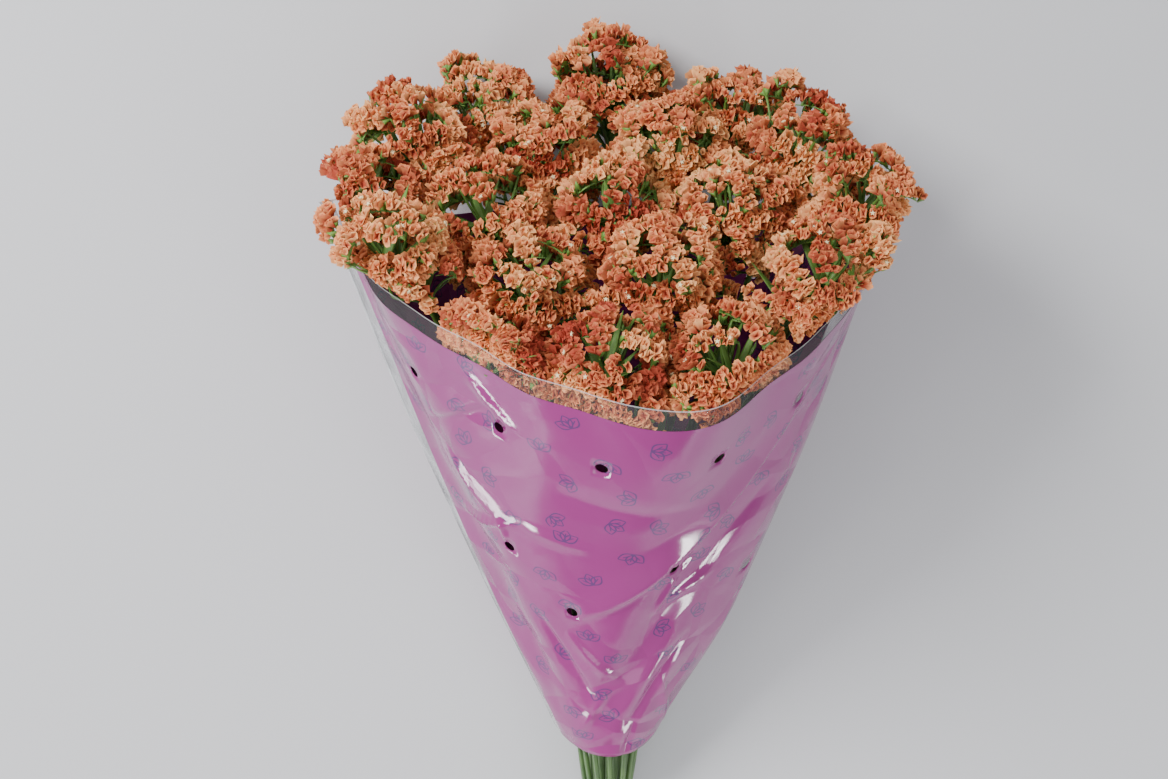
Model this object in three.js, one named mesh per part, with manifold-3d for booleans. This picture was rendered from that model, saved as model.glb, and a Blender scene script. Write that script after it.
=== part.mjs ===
// A bunch of nineteen cut statice stems in a clear-edged film flower sleeve, laid on its back.
// Millimetres, +Z up, the flowers towards +Y, the origin on the surface under the middle of the bunch.
import * as THREE from "three";
import Module from "manifold-3d";

const wasm = await Module();
wasm.setup();

const DEG = Math.PI / 180;

// The film sleeve, by the sizes of its two flat sheets, and how it lies when it is full.
const SLEEVE_HEIGHT = 510;
const SLEEVE_TOP_WIDTH = 712;
const SLEEVE_HEM_WIDTH = 150;
const FILM = 0.8;
const SEAM_ROLL = 6 * DEG;
const LYING_HALF_ANGLE = 25 * DEG;
const SLEEVE_COLUMNS = 32;
const SLEEVE_ROWS = 8;

// The punched air holes: how far each row is below the top edge, how many it has, their spacing,
// and how far the row's middle is to the right of the sheet's.
const HOLE_DIAMETER = 10;
const HOLE_ROWS = [
  { below: 88, count: 6, spacing: 96, offset: 20 },
  { below: 240, count: 3, spacing: 155, offset: 44 },
  { below: 298, count: 2, spacing: 176, offset: 41 },
];

// Long soft folds of the film: where each crosses mid height, how far it turns from hem to top,
// how deep it is and how wide, in degrees round the sleeve and millimetres.
const FOLDS = [
  { middle: 34, turn: 92, depth: 7, width: 13 },
  { middle: -64, turn: -34, depth: 6, width: 12 },
  { middle: -14, turn: 20, depth: 4, width: 20 },
  { middle: 84, turn: 16, depth: -5, width: 14 },
  { middle: -112, turn: 12, depth: 5, width: 16 },
  { middle: 126, turn: -24, depth: 5, width: 15 },
  { middle: 82, turn: 0, depth: -13, width: 26 },
  { middle: -80, turn: 0, depth: -6, width: 24 },
];

// The stems: a hexagonal pack at the tie that fans out to the flower heads.
const STEM_PITCH = 5.6;
const STEM_RADIUS = 2.85;
const WING_REACH = 4.6;
const STEM_CORE = 1.7;
const STEM_TAIL = -62;
const BUNDLE_HEIGHT = 16;
const BUNDLE_EASE = 8;
const LOWER_FAN = 0.62;
const BUNDLE_TWIST = -24 * DEG;
const STEM_SAG = 33.2;
const SAG_AT = 270;
const STEM_SHARES = [0.16, 0.4, 0.68, 1];

// The flower heads, row by row from the underside up: how many degrees each leans aside and up
// from the sleeve's axis, and how far its top is from the point that the sleeve narrows to.
const HEAD_ROWS = [
  [[-9.5, -12.6, 776], [0.0, -13.0, 796], [9.2, -12.4, 770]],
  [[-14.2, -6.0, 786], [-5.2, -6.8, 750], [4.2, -6.2, 758], [13.4, -5.8, 780]],
  [[-17.0, 0.8, 772], [-9.0, 0.4, 738], [0.2, 0.0, 732], [8.6, 0.8, 742], [17.4, 1.8, 778]],
  [[-15.0, 8.6, 774], [-6.4, 7.6, 712], [3.6, 7.4, 718], [14.6, 8.8, 752]],
  [[-9.8, 14.6, 704], [-0.6, 15.0, 692], [8.8, 14.6, 702]],
];
const FORK_BELOW = 118;

// The combs, the one-sided arched spikes that statice flowers grow on. They lie over a dome, one on
// top and a whorl of slanting ones round its side, and branch from one hub.
const DOME_RADIUS = 41;
const WHORL_COMBS = 5;
const WHORL_POLAR = 64 * DEG;
const WHORL_SLANT = 12 * DEG;
const TOP_RAISE = 8;
const TOP_FLOOR = 9;
const TOP_TURN = 22 * DEG;
const COMB_BEND = 20 * DEG;
const COMB_ROWS = 3;
const FLORET_PITCH = 17;
const FLORET_LENGTH = 17;
const FLORET_HALF_WIDTH = 9.4;
const FLORET_SHARE = 0.42;
const FLORET_LEAN = 36 * DEG;
const FLORET_DISH = 7;
const FLORET_SIZES = [1, 0.9, 0.8, 0.7, 0.6, 0.5, 0.4, 0.3];
const HUB_BELOW = 80;
const HUB_RADIUS = 3.4;
const HUB_HEIGHT = 5;
const RACHIS = 2.6;

// Clearances between the pieces.
const CELL_GAP = 0.35;
const SPINE_GAP = 7;
const FILM_CLEAR = 3.6;
const RIM_CLEAR = 16;
const RIM_FLARE = 0.9;
const SURFACE_GAP = 0.4;
const TOUCH_GAP = 0.3;

// The rubber band that ties the stems.
const BAND_AT = 8;
const BAND_WIDTH = 5;
const BAND_THICKNESS = 1.4;
const BAND_SIDES = 20;

const FILM_PURPLE = new THREE.MeshStandardMaterial({ color: 0xb46aa8, roughness: 0.25, metalness: 0 });
const CALYX_APRICOT = new THREE.MeshStandardMaterial({ color: 0xe49a7c, roughness: 0.8, metalness: 0 });
const STEM_GREEN = new THREE.MeshStandardMaterial({ color: 0x4f7a3a, roughness: 0.7, metalness: 0 });
const BAND_TAN = new THREE.MeshStandardMaterial({ color: 0xb98a52, roughness: 0.6, metalness: 0 });

// The sleeve's cone: its sheets meet at a point, the apex, that all distances along the bunch are from.
const apexToHem = (SLEEVE_HEIGHT * SLEEVE_HEM_WIDTH) / (SLEEVE_TOP_WIDTH - SLEEVE_HEM_WIDTH);
const sheetHalfAngle = Math.atan(SLEEVE_TOP_WIDTH / 2 / (apexToHem + SLEEVE_HEIGHT));
const coneHalfAngle = Math.asin((4 * sheetHalfAngle) / (2 * Math.PI));
const lean = Math.atan(Math.cos(LYING_HALF_ANGLE) * Math.tan(coneHalfAngle));
const AXIS = new THREE.Vector3(0, Math.cos(lean), Math.sin(lean));
const UP = new THREE.Vector3(0, -Math.sin(lean), Math.cos(lean));
const SIDE = new THREE.Vector3(1, 0, 0);

// A repeatable draw from 0 to 1 for two whole numbers.
function draw(a, b) {
  const x = Math.sin(a * 127.1 + b * 311.7 + 17.3) * 43758.5453;
  return x - Math.floor(x);
}

// A repeatable draw from -1 to 1.
const sway = (a, b) => 2 * draw(a, b) - 1;

const ease = (x, from, to) => THREE.MathUtils.smoothstep(x, from, to);

// The sum of vectors, each times its own number.
function blend(...pairs) {
  const sum = new THREE.Vector3();
  pairs.forEach(([vector, scale]) => sum.addScaledVector(vector, scale));
  return sum;
}

// Points and triangles that become one closed solid.
class Shell {
  constructor() {
    this.points = [];
    this.triangles = [];
  }

  point(p) {
    this.points.push(p.x, p.y, p.z);
    return this.points.length / 3 - 1;
  }

  at(index) {
    return new THREE.Vector3().fromArray(this.points, index * 3);
  }

  triangle(a, b, c) {
    if (a !== b && b !== c && c !== a) this.triangles.push(a, b, c);
  }

  quad(a, b, c, d) {
    this.triangle(a, b, c);
    this.triangle(a, c, d);
  }

  // The walls between two rings of points, each ring clockwise as seen looking from the first to the second.
  bridge(first, second) {
    first.forEach((_, n) => {
      const next = (n + 1) % first.length;
      this.quad(first[n], first[next], second[next], second[n]);
    });
  }

  // The same walls facing the other way, split along the same diagonals.
  line(first, second) {
    first.forEach((_, n) => {
      const next = (n + 1) % first.length;
      this.quad(first[n], second[n], second[next], first[next]);
    });
  }

  // A flat lid over a ring.
  lid(ring) {
    for (let n = 1; n < ring.length - 1; n += 1) this.triangle(ring[0], ring[n], ring[n + 1]);
  }

  solid() {
    return new wasm.Manifold(
      new wasm.Mesh({
        numProp: 3,
        vertProperties: new Float32Array(this.points),
        triVerts: new Uint32Array(this.triangles),
      }),
    );
  }
}

// How far round its own sheet a place on the sleeve is, from the sheet's middle line.
function sheetAngle(azimuth) {
  const turned = Math.atan2(Math.sin(azimuth - SEAM_ROLL), Math.cos(azimuth - SEAM_ROLL));
  const fromMiddle = Math.abs(turned) <= Math.PI / 2 ? Math.abs(turned) : Math.PI - Math.abs(turned);
  return (fromMiddle / (Math.PI / 2)) * sheetHalfAngle;
}

// The distance from the apex to the sleeve's edge there: 0 is the hem and 1 the top edge.
function sheetDistance(share, azimuth) {
  return (apexToHem + share * SLEEVE_HEIGHT) / Math.cos(sheetAngle(azimuth));
}

// How far the film stands in or out of its cone: the folds, less near the two ends and the underside.
function foldDepth(distance, azimuth) {
  const share = (distance * Math.cos(sheetAngle(azimuth)) - apexToHem) / SLEEVE_HEIGHT;
  const degrees = azimuth / DEG;
  const lying = 1 - ease(Math.abs(degrees), 125, 150);
  const along = ease(share, -0.02, 0.3) * (1 - 0.55 * ease(share, 0.55, 1));
  return FOLDS.reduce((sum, fold) => {
    const off = (degrees - fold.middle - fold.turn * (share - 0.5)) / fold.width;
    return sum - fold.depth * lying * along * Math.exp(-off * off);
  }, 0);
}

// A point at a distance from the apex, an angle off the axis, and an azimuth that is 0 on top.
function polarPoint(distance, polar, azimuth) {
  const across = Math.sin(polar);
  return blend(
    [AXIS, distance * Math.cos(polar)],
    [UP, distance * across * Math.cos(azimuth)],
    [SIDE, distance * across * Math.sin(azimuth)],
  );
}

// A point on the film, a given depth in from its outer face. Its underside lies flat on the surface.
function filmPoint(distance, azimuth, depth) {
  const polar = coneHalfAngle + (foldDepth(distance, azimuth) - depth) / distance;
  const point = polarPoint(distance, polar, azimuth);
  point.z = Math.max(point.z, depth);
  return point;
}

// The film before its holes are punched.
function filmShell() {
  const shell = new Shell();
  const rings = [0, FILM].map((depth) =>
    Array.from({ length: SLEEVE_ROWS + 1 }, (_, row) =>
      Array.from({ length: SLEEVE_COLUMNS }, (_, column) => {
        const azimuth = SEAM_ROLL - Math.PI + (column * 2 * Math.PI) / SLEEVE_COLUMNS;
        const wrapped = Math.atan2(Math.sin(azimuth), Math.cos(azimuth));
        const distance = sheetDistance(row / SLEEVE_ROWS, wrapped);
        return shell.point(filmPoint(distance, wrapped, depth));
      }),
    ),
  );
  for (let row = 0; row < SLEEVE_ROWS; row += 1) {
    shell.bridge(rings[0][row], rings[0][row + 1]);
    shell.line(rings[1][row], rings[1][row + 1]);
  }
  shell.bridge(rings[1][0], rings[0][0]);
  shell.bridge(rings[0][SLEEVE_ROWS], rings[1][SLEEVE_ROWS]);
  return shell.solid();
}

// The sleeve with its air holes, which are punched through both of its flat sheets.
function sleeve() {
  const punch = new THREE.CylinderGeometry(HOLE_DIAMETER / 2, HOLE_DIAMETER / 2, 40, 6);
  let film = filmShell();
  HOLE_ROWS.forEach(({ below, count, spacing, offset }) => {
    for (let n = 0; n < count; n += 1) {
      const up = apexToHem + SLEEVE_HEIGHT - below;
      const aside = (n - (count - 1) / 2) * spacing + offset;
      const turn = (Math.atan2(aside, up) / sheetHalfAngle) * (Math.PI / 2);
      [SEAM_ROLL + turn, SEAM_ROLL + Math.PI - turn].forEach((azimuth) => {
        const wrapped = Math.atan2(Math.sin(azimuth), Math.cos(azimuth));
        const centre = filmPoint(Math.hypot(up, aside), wrapped, FILM / 2);
        const outward = centre.z < 2 ? new THREE.Vector3(0, 0, 1) : outwardOf(centre);
        const hole = punch.clone();
        hole.applyQuaternion(new THREE.Quaternion().setFromUnitVectors(new THREE.Vector3(0, 1, 0), outward));
        hole.translate(centre.x, centre.y, centre.z);
        film = film.subtract(solidOf(hole));
      });
    }
  });
  return film;
}

// The outward direction square to the cone at a point.
function outwardOf(point) {
  const axial = blend([AXIS, point.dot(AXIS)]);
  const radial = point.clone().sub(axial).normalize();
  return blend([radial, Math.cos(coneHalfAngle)], [AXIS, -Math.sin(coneHalfAngle)]).normalize();
}

// A three.js geometry's closed surface as a solid.
function solidOf(geometry) {
  const position = geometry.getAttribute("position");
  const shell = new Shell();
  const seen = new Map();
  const order = Array.from({ length: position.count }, (_, n) => {
    const point = new THREE.Vector3().fromBufferAttribute(position, n);
    const key = point.toArray().map((value) => Math.round(value * 1000)).join();
    if (!seen.has(key)) seen.set(key, shell.point(point));
    return seen.get(key);
  });
  const index = geometry.index.array;
  for (let n = 0; n < index.length; n += 3) {
    const [a, b, c] = [order[index[n]], order[index[n + 1]], order[index[n + 2]]];
    shell.triangle(a, b, c);
  }
  return shell.solid();
}

// The stems: the place of each in the hexagonal pack at the tie, and its flower head's direction.
function packPlaces() {
  return HEAD_ROWS.flatMap((heads, row) =>
    heads.map(([aside, above, reach], n) => ({
      across: n - (heads.length - 1) / 2,
      up: (row - 2) * Math.sqrt(0.75),
      asideSlope: Math.tan(aside * DEG),
      aboveSlope: Math.tan(above * DEG),
      reach,
    })),
  ).map((place, n) => ({ number: n + 1, ...place }));
}

// A point on the bunch's middle line, which runs level where the stems lie on the surface, and sags
// inside the sleeve until the lowest stem lies on the film.
function middlePoint(along) {
  const axisHeight = along * Math.sin(lean);
  const soft = Math.log(1 + Math.exp((BUNDLE_HEIGHT - axisHeight) / BUNDLE_EASE));
  const sag = STEM_SAG * ease(along, 60, SAG_AT) * (1 - ease(along, SAG_AT, 2 * SAG_AT));
  return new THREE.Vector3(0, along * Math.cos(lean), axisHeight + BUNDLE_EASE * soft - sag);
}

// A point on a stem's centre line, a given distance along the bunch from the apex.
function stemPoint(place, along) {
  const fan = Math.max(along, 0) * (LOWER_FAN + (1 - LOWER_FAN) * ease(along, 300, 800));
  const twist = BUNDLE_TWIST * (1 - ease(along, 0, 520));
  const turnedAcross = place.across * Math.cos(twist) - place.up * Math.sin(twist);
  const turnedUp = place.across * Math.sin(twist) + place.up * Math.cos(twist);
  const level = ease(along, 40, 200);
  const rise = new THREE.Vector3(0, 0, 1).lerp(UP, level).normalize();
  const loose = ease(along, 20, 160);
  const pack = STEM_PITCH * (1 - 0.6 * loose);
  return blend(
    [middlePoint(along), 1],
    [SIDE, pack * turnedAcross + fan * place.asideSlope],
    [rise, pack * turnedUp + fan * place.aboveSlope],
  );
}

// The way a stem runs there.
const stemDirection = (place, along) => stemPoint(place, along + 2).sub(stemPoint(place, along)).normalize();

// The direction in which a stem's flower head lies from the apex.
function headDirection(place) {
  return blend([AXIS, 1], [SIDE, place.asideSlope], [UP, place.aboveSlope]).normalize();
}

// Where a stem forks into the branches of its head.
const forkAlong = (place) => (place.reach - FORK_BELOW) * headDirection(place).dot(AXIS);

// The two directions across a line: one level and one that leans up.
function across(direction) {
  const level = SIDE.clone().addScaledVector(direction, -direction.dot(SIDE)).normalize();
  return { level, up: new THREE.Vector3().crossVectors(level, direction) };
}

// A point at a distance and a turn round a centre, in the plane across a direction.
function roundPoint(centre, direction, radius, round) {
  const { level, up } = across(direction);
  return blend([centre, 1], [level, radius * Math.cos(round)], [up, radius * Math.sin(round)]);
}

// The planes midway to the neighbouring heads, which a head stays behind: each has its outward
// direction and how far along that it lies.
function headRoom(place, places) {
  const own = headDirection(place);
  return places
    .filter((other) => other !== place)
    .map((other) => ({ normal: headDirection(other).sub(own).normalize(), limit: 0 }));
}

// Presses a point back behind the planes of its room, inside a cone that flares past the film's
// edge, and up off the surface.
function pressed(point, room, gap) {
  const moved = point.clone();
  for (let pass = 0; pass < 3; pass += 1) {
    room.forEach(({ normal, limit }) => {
      const over = moved.dot(normal) - limit + gap;
      if (over > 0) moved.addScaledVector(normal, -over);
    });
    const distance = moved.length();
    const azimuth = Math.atan2(moved.dot(SIDE), moved.dot(UP));
    const rim = sheetDistance(1, azimuth);
    const overhang = RIM_FLARE * Math.max(0, distance - rim - RIM_CLEAR);
    const fold = foldDepth(Math.min(distance, rim), azimuth);
    const most = coneHalfAngle + (fold + overhang - FILM_CLEAR) / distance;
    if (moved.angleTo(AXIS) > most) moved.copy(polarPoint(distance, most, azimuth));
    moved.z = Math.max(moved.z, overhang > 0 ? SURFACE_GAP : FILM_CLEAR);
  }
  return moved;
}

// How far round a head its first comb is.
const combStart = (place) => draw(place.number, 49) * 2 * Math.PI;

// A turn round a head, one share of the whorl at a time.
const whorlTurn = (place, shares) => combStart(place) - (shares * 2 * Math.PI) / WHORL_COMBS;

// The middle of the hub that a head's branches grow from.
const hubMiddle = (place) => blend([headDirection(place), place.reach - HUB_BELOW]);

// The combs of a head: the middle of each, the way it runs, the way its florets face and its room.
function combPlaces(place, places) {
  const out = headDirection(place);
  const facing = (round) => roundPoint(new THREE.Vector3(), out, 1, round);
  const sense = draw(place.number, 5) < 0.5 ? -1 : 1;
  const crown = place.reach - FLORET_LENGTH;
  const room = headRoom(place, places);
  return Array.from({ length: WHORL_COMBS + 1 }, (_, n) => {
    const key = place.number * 10 + n;
    const onTop = n === WHORL_COMBS;
    const between = onTop ? (sense * TOP_TURN * WHORL_COMBS) / (2 * Math.PI) : 0;
    const round = whorlTurn(place, n - between + 0.03 * sway(key, 6));
    const polar = onTop ? 4 * DEG : WHORL_POLAR + 5 * DEG * sway(key, 7);
    const slant = WHORL_SLANT + 7 * DEG * sway(key, 8);
    const outward = facing(round);
    const normal = blend([out, Math.cos(polar)], [outward, Math.sin(polar)]);
    const down = blend([outward, Math.cos(polar)], [out, -Math.sin(polar)]);
    const heading = blend([facing(round + Math.PI / 2), sense * Math.cos(slant)], [down, Math.sin(slant)]);
    const centre = crown - DOME_RADIUS - (onTop ? 0 : TOP_RAISE + 4 * draw(key, 9));
    const middle = blend([out, centre], [normal, DOME_RADIUS]);
    const wedge = [-0.5, 0.5].map((edge) => {
      const turn = whorlTurn(place, n + edge) - Math.sign(edge) * (Math.PI / 2);
      return { normal: facing(turn), limit: 0 };
    });
    const ceiling = { normal: out, limit: crown - TOP_FLOOR };
    const floor = { normal: out.clone().negate(), limit: TOP_FLOOR - crown };
    return {
      key,
      middle,
      heading,
      normal,
      branchRoom: onTop ? room : [...room, ...wedge],
      room: onTop ? [...room, floor] : [...room, ...wedge, ceiling],
    };
  });
}

// The stations along a comb's arched spine, each with its place, tangent, normal and width direction.
function combStations(comb) {
  const lead = (COMB_ROWS / 2) * COMB_BEND;
  const radius = FLORET_PITCH / COMB_BEND;
  return Array.from({ length: COMB_ROWS + 1 }, (_, n) => {
    const angle = lead - n * COMB_BEND;
    const tangent = blend([comb.heading, Math.cos(angle)], [comb.normal, Math.sin(angle)]);
    const normal = blend([comb.heading, -Math.sin(angle)], [comb.normal, Math.cos(angle)]);
    const point = blend([comb.middle, 1], [normal, radius], [comb.normal, -radius]);
    const wide = new THREE.Vector3().crossVectors(tangent, normal);
    return { point: pressed(point, comb.branchRoom, SPINE_GAP), tangent, normal, wide };
  });
}

// The four corners of the rachis or branch at a station, clockwise from its ridge.
function ringAt({ point, normal, wide }, room) {
  return [
    blend([point, 1], [normal, RACHIS * 0.7]),
    blend([point, 1], [normal, -RACHIS * 0.35], [wide, RACHIS * 0.8]),
    blend([point, 1], [normal, -RACHIS]),
    blend([point, 1], [normal, -RACHIS * 0.35], [wide, -RACHIS * 0.8]),
  ].map((corner) => pressed(corner, room, CELL_GAP));
}

// The middle of some points.
const middleOf = (points) => blend(...points.map((point) => [point, 1 / points.length]));

// How many corners round a hub's face starts, for its corners to best meet those of a ring.
function turnTo(face, ring) {
  const [middle, target] = [middleOf(face), middleOf(ring)];
  const match = (turn) =>
    ring.reduce((sum, point, n) => {
      const corner = face[(n + turn) % face.length].clone().sub(middle);
      return sum + corner.dot(point.clone().sub(target));
    }, 0);
  return face.map((_, n) => n).reduce((turn, other) => (match(other) > match(turn) ? other : turn));
}

// One calyx: a funnel drawn out of a face of the rachis to a flared rim with a hollow middle. It is
// as large as its comb's room lets it be.
function floret(shell, face, near, far, side, key, room) {
  const middle = middleOf([near.point, far.point]);
  const normal = near.normal.clone().add(far.normal).normalize();
  const wide = near.wide.clone().add(far.wide).normalize().multiplyScalar(side);
  const along = far.point.clone().sub(near.point).normalize();
  const axis = blend([normal, Math.cos(FLORET_LEAN)], [wide, Math.sin(FLORET_LEAN)]);
  const across = blend([wide, Math.cos(FLORET_LEAN)], [normal, -Math.sin(FLORET_LEAN)]);
  const centre = blend([middle, 1], [axis, FLORET_LENGTH * (1 + 0.06 * sway(key, 12))]);
  const opening = 1 + (COMB_BEND / FLORET_PITCH) * FLORET_LENGTH;
  const reach = FLORET_SHARE * near.point.distanceTo(far.point) * opening;
  const half = FLORET_HALF_WIDTH * (1 + 0.05 * sway(key, 13));
  const corners = [
    [-1, -side, 1.6],
    [-1, side, -1.2],
    [1, side, 1.6],
    [1, -side, -1.2],
  ].map(([lengthwise, sideways, lift], n) =>
    blend(
      [centre, 1],
      [along, lengthwise * reach],
      [across, sideways * half],
      [axis, lift + 0.8 * sway(key, 14 + n)],
    ),
  );
  const whole = [...corners, blend([centre, 1], [axis, -FLORET_DISH])];
  const sized = (size) => whole.map((point) => middle.clone().lerp(point, size));
  const isClear = (point) => pressed(point, room, CELL_GAP).distanceTo(point) < 0.01;
  const size = FLORET_SIZES.find((share) => sized(share).every(isClear));
  if (!size) {
    shell.quad(...face);
    return;
  }
  const indices = sized(size).map((point) => shell.point(point));
  const rim = indices.slice(0, 4);
  const dish = indices[4];
  shell.bridge(face, rim);
  rim.forEach((corner, n) => shell.triangle(corner, rim[(n + 1) % 4], dish));
}

// A branch from a face of the hub to one comb, and the comb with its two rows of florets.
function growComb(shell, comb, face) {
  const stations = combStations(comb);
  const root = stations[0];
  const corners = face.map((index) => shell.at(index));
  const start = middleOf(corners);
  const bend = blend([start, 0.35], [root.point, 0.65], [root.tangent, -5]);
  const curve = new THREE.QuadraticBezierCurve3(start, bend, root.point);
  const turnBack = new THREE.Quaternion().setFromUnitVectors(root.tangent, curve.getTangent(0.55));
  const [normal, wide] = [root.normal, root.wide].map((vector) => vector.clone().applyQuaternion(turnBack));
  const half = ringAt({ point: curve.getPoint(0.55), normal, wide }, comb.branchRoom);
  const turn = turnTo(corners, half);
  const turned = face.map((_, n) => face[(n + turn) % face.length]);
  const [halfRing, ...rings] = [half, ...stations.map((station) => ringAt(station, comb.room))].map((ring) =>
    ring.map((point) => shell.point(point)),
  );
  shell.bridge(turned, face.map((_, n) => halfRing[Math.min(n, 3)]));
  shell.bridge(halfRing, rings[0]);
  rings.slice(1).forEach((ring, row) => {
    const near = rings[row];
    shell.quad(near[1], near[2], ring[2], ring[1]);
    shell.quad(near[2], near[3], ring[3], ring[2]);
    const rightFace = [near[0], near[1], ring[1], ring[0]];
    const leftFace = [near[3], near[0], ring[0], ring[3]];
    floret(shell, rightFace, stations[row], stations[row + 1], 1, comb.key * 20 + row, comb.room);
    floret(shell, leftFace, stations[row], stations[row + 1], -1, comb.key * 20 + 10 + row, comb.room);
  });
  shell.lid(rings.at(-1));
}

// The six corners of a stem's section: two reach out as wings above the tie.
function stemRing(shell, place, along) {
  const centre = stemPoint(place, along);
  const direction = stemDirection(place, along);
  const winged = ease(along, 60, 260);
  const turn = BUNDLE_TWIST + 30 * DEG + winged * 180 * DEG * draw(place.number, 20);
  return Array.from({ length: 6 }, (_, n) => {
    const grown = n % 3 === 0 ? WING_REACH : STEM_CORE;
    const radius = THREE.MathUtils.lerp(STEM_RADIUS, grown, winged);
    const corner = roundPoint(centre, direction, radius, turn - n * 60 * DEG);
    corner.z = Math.max(corner.z, SURFACE_GAP);
    return shell.point(corner);
  });
}

// A stem from its cut end to just below its head. It runs straight through the tie.
function stemShell(place) {
  const shell = new Shell();
  const last = forkAlong(place) - TOUCH_GAP;
  const tied = [BAND_AT - BAND_WIDTH, BAND_AT + BAND_WIDTH];
  const upper = STEM_SHARES.map((share) => THREE.MathUtils.lerp(tied[1], last, share));
  const rings = [STEM_TAIL, ...tied, ...upper].map((along) => stemRing(shell, place, along));
  rings.slice(1).forEach((ring, n) => shell.bridge(rings[n], ring));
  shell.lid([...rings[0]].reverse());
  shell.lid(rings[rings.length - 1]);
  return shell.solid();
}

// A head: the top of the stem with the hub, and the combs that branch from the hub's faces.
function head(place, places) {
  const out = headDirection(place);
  const shell = new Shell();
  const section = (centre, direction) =>
    Array.from({ length: WHORL_COMBS }, (_, n) =>
      shell.point(roundPoint(centre, direction, HUB_RADIUS, whorlTurn(place, n - 0.5))),
    );
  const fork = forkAlong(place);
  const cut = section(stemPoint(place, fork), stemDirection(place, fork));
  const [low, high] = [-0.5, 0.5].map((share) => section(blend([hubMiddle(place), 1], [out, share * HUB_HEIGHT]), out));
  shell.lid([...cut].reverse());
  shell.bridge(cut, low);
  const faces = low.map((corner, n) => {
    const next = (n + 1) % WHORL_COMBS;
    return [corner, low[next], high[next], high[n]];
  });
  combPlaces(place, places).forEach((comb, n) => growComb(shell, comb, faces[n] ?? high));
  return shell.solid();
}

// The elastic that ties the stems, stretched round the outermost of them.
function band(places) {
  const shell = new Shell();
  const probe = new Shell();
  places.forEach((place) => {
    [-1, 1].forEach((end) => stemRing(probe, place, BAND_AT + end * BAND_WIDTH));
  });
  const middle = middlePoint(BAND_AT);
  const reachAt = (round) => {
    let most = 0;
    for (let n = 0; n < probe.points.length; n += 3) {
      const across = probe.points[n] * Math.cos(round);
      most = Math.max(most, across + (probe.points[n + 2] - middle.z) * Math.sin(round));
    }
    return most + TOUCH_GAP;
  };
  const step = (2 * Math.PI) / BAND_SIDES;
  const ring = (y, extra) =>
    Array.from({ length: BAND_SIDES }, (_, n) => {
      const round = -n * step;
      const here = reachAt(round) + extra;
      const next = reachAt(round - step) + extra;
      const slide = (next - here * Math.cos(step)) / Math.sin(step);
      const x = here * Math.cos(round) + slide * Math.sin(round);
      const z = here * Math.sin(round) - slide * Math.cos(round);
      return shell.point(new THREE.Vector3(x, middle.y + y, middle.z + z));
    });
  const half = BAND_WIDTH / 2;
  const [outerFront, outerBack] = [-half, half].map((y) => ring(y, BAND_THICKNESS));
  const [innerFront, innerBack] = [-half, half].map((y) => ring(y, 0));
  shell.bridge(outerFront, outerBack);
  shell.bridge(outerBack, innerBack);
  shell.bridge(innerBack, innerFront);
  shell.bridge(innerFront, outerFront);
  return shell.solid();
}

// A solid as a named three.js mesh.
function meshOf(name, solid, material) {
  const { vertProperties, triVerts } = solid.getMesh();
  const geometry = new THREE.BufferGeometry();
  geometry.setAttribute("position", new THREE.BufferAttribute(new Float32Array(vertProperties), 3));
  geometry.setIndex(new THREE.BufferAttribute(new Uint32Array(triVerts), 1));
  geometry.computeVertexNormals();
  const mesh = new THREE.Mesh(geometry, material);
  mesh.name = name;
  return mesh;
}

const bunch = new THREE.Group();
const places = packPlaces();
bunch.add(meshOf("sleeve", sleeve(), FILM_PURPLE));
bunch.add(meshOf("tie_band", band(places), BAND_TAN));
places.forEach((place) => {
  const label = String(place.number).padStart(2, "0");
  bunch.add(meshOf(`stem_${label}`, stemShell(place), STEM_GREEN));
  bunch.add(meshOf(`flower_head_${label}`, head(place, places), CALYX_APRICOT));
});
const middle = new THREE.Box3().setFromObject(bunch).getCenter(new THREE.Vector3());
bunch.position.set(-Math.round(middle.x), -Math.round(middle.y), 0);

export default bunch;
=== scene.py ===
"""A bunch of statice in a film flower sleeve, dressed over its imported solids.

Lengths inside the classes are millimetres from the apex, the point that the sleeve narrows to, with
+Y towards the flowers and +Z up. A mesh is moved into the part's frame, in metres, when it is made.
"""

import logging
import math
from dataclasses import dataclass, field
from enum import Enum, IntEnum

import bmesh
import bpy
import numpy as np
from mathutils import Matrix, Vector

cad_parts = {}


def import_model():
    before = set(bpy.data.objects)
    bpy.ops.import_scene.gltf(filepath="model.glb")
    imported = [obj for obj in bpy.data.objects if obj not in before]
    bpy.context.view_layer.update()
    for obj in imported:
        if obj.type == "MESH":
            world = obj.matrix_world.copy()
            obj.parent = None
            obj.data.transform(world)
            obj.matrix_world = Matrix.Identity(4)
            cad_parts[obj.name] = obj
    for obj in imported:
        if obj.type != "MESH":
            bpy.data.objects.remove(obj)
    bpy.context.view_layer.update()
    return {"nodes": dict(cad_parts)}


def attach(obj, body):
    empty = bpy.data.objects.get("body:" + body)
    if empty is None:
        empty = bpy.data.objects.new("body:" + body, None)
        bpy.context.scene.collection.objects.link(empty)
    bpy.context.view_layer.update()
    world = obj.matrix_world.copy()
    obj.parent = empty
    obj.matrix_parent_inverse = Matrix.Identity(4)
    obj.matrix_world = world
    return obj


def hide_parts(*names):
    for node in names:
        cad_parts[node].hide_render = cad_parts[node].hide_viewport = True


LOG = logging.getLogger("statice_bunch")
Array = np.ndarray
Colour = tuple[float, float, float]
Span = tuple[float, float]
Socket = bpy.types.NodeSocket
DEG = math.pi / 180.0
MM = 0.001
# From the apex to the part's own origin, in mm.
ORIGIN_SHIFT = np.array([-2.0, -369.0, 0.0])
SIDE = np.array([1.0, 0.0, 0.0])
DRAW_WEIGHTS = (127.1, 311.7)
DRAW_SHIFT = 17.3
DRAW_STRETCH = 43758.5453
GOLDEN_TURN = 2.39996
# Added to the film map's second coordinate on the back sheet, in metres, to tell it from the front.
BACK_SHEET = 2.0


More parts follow.
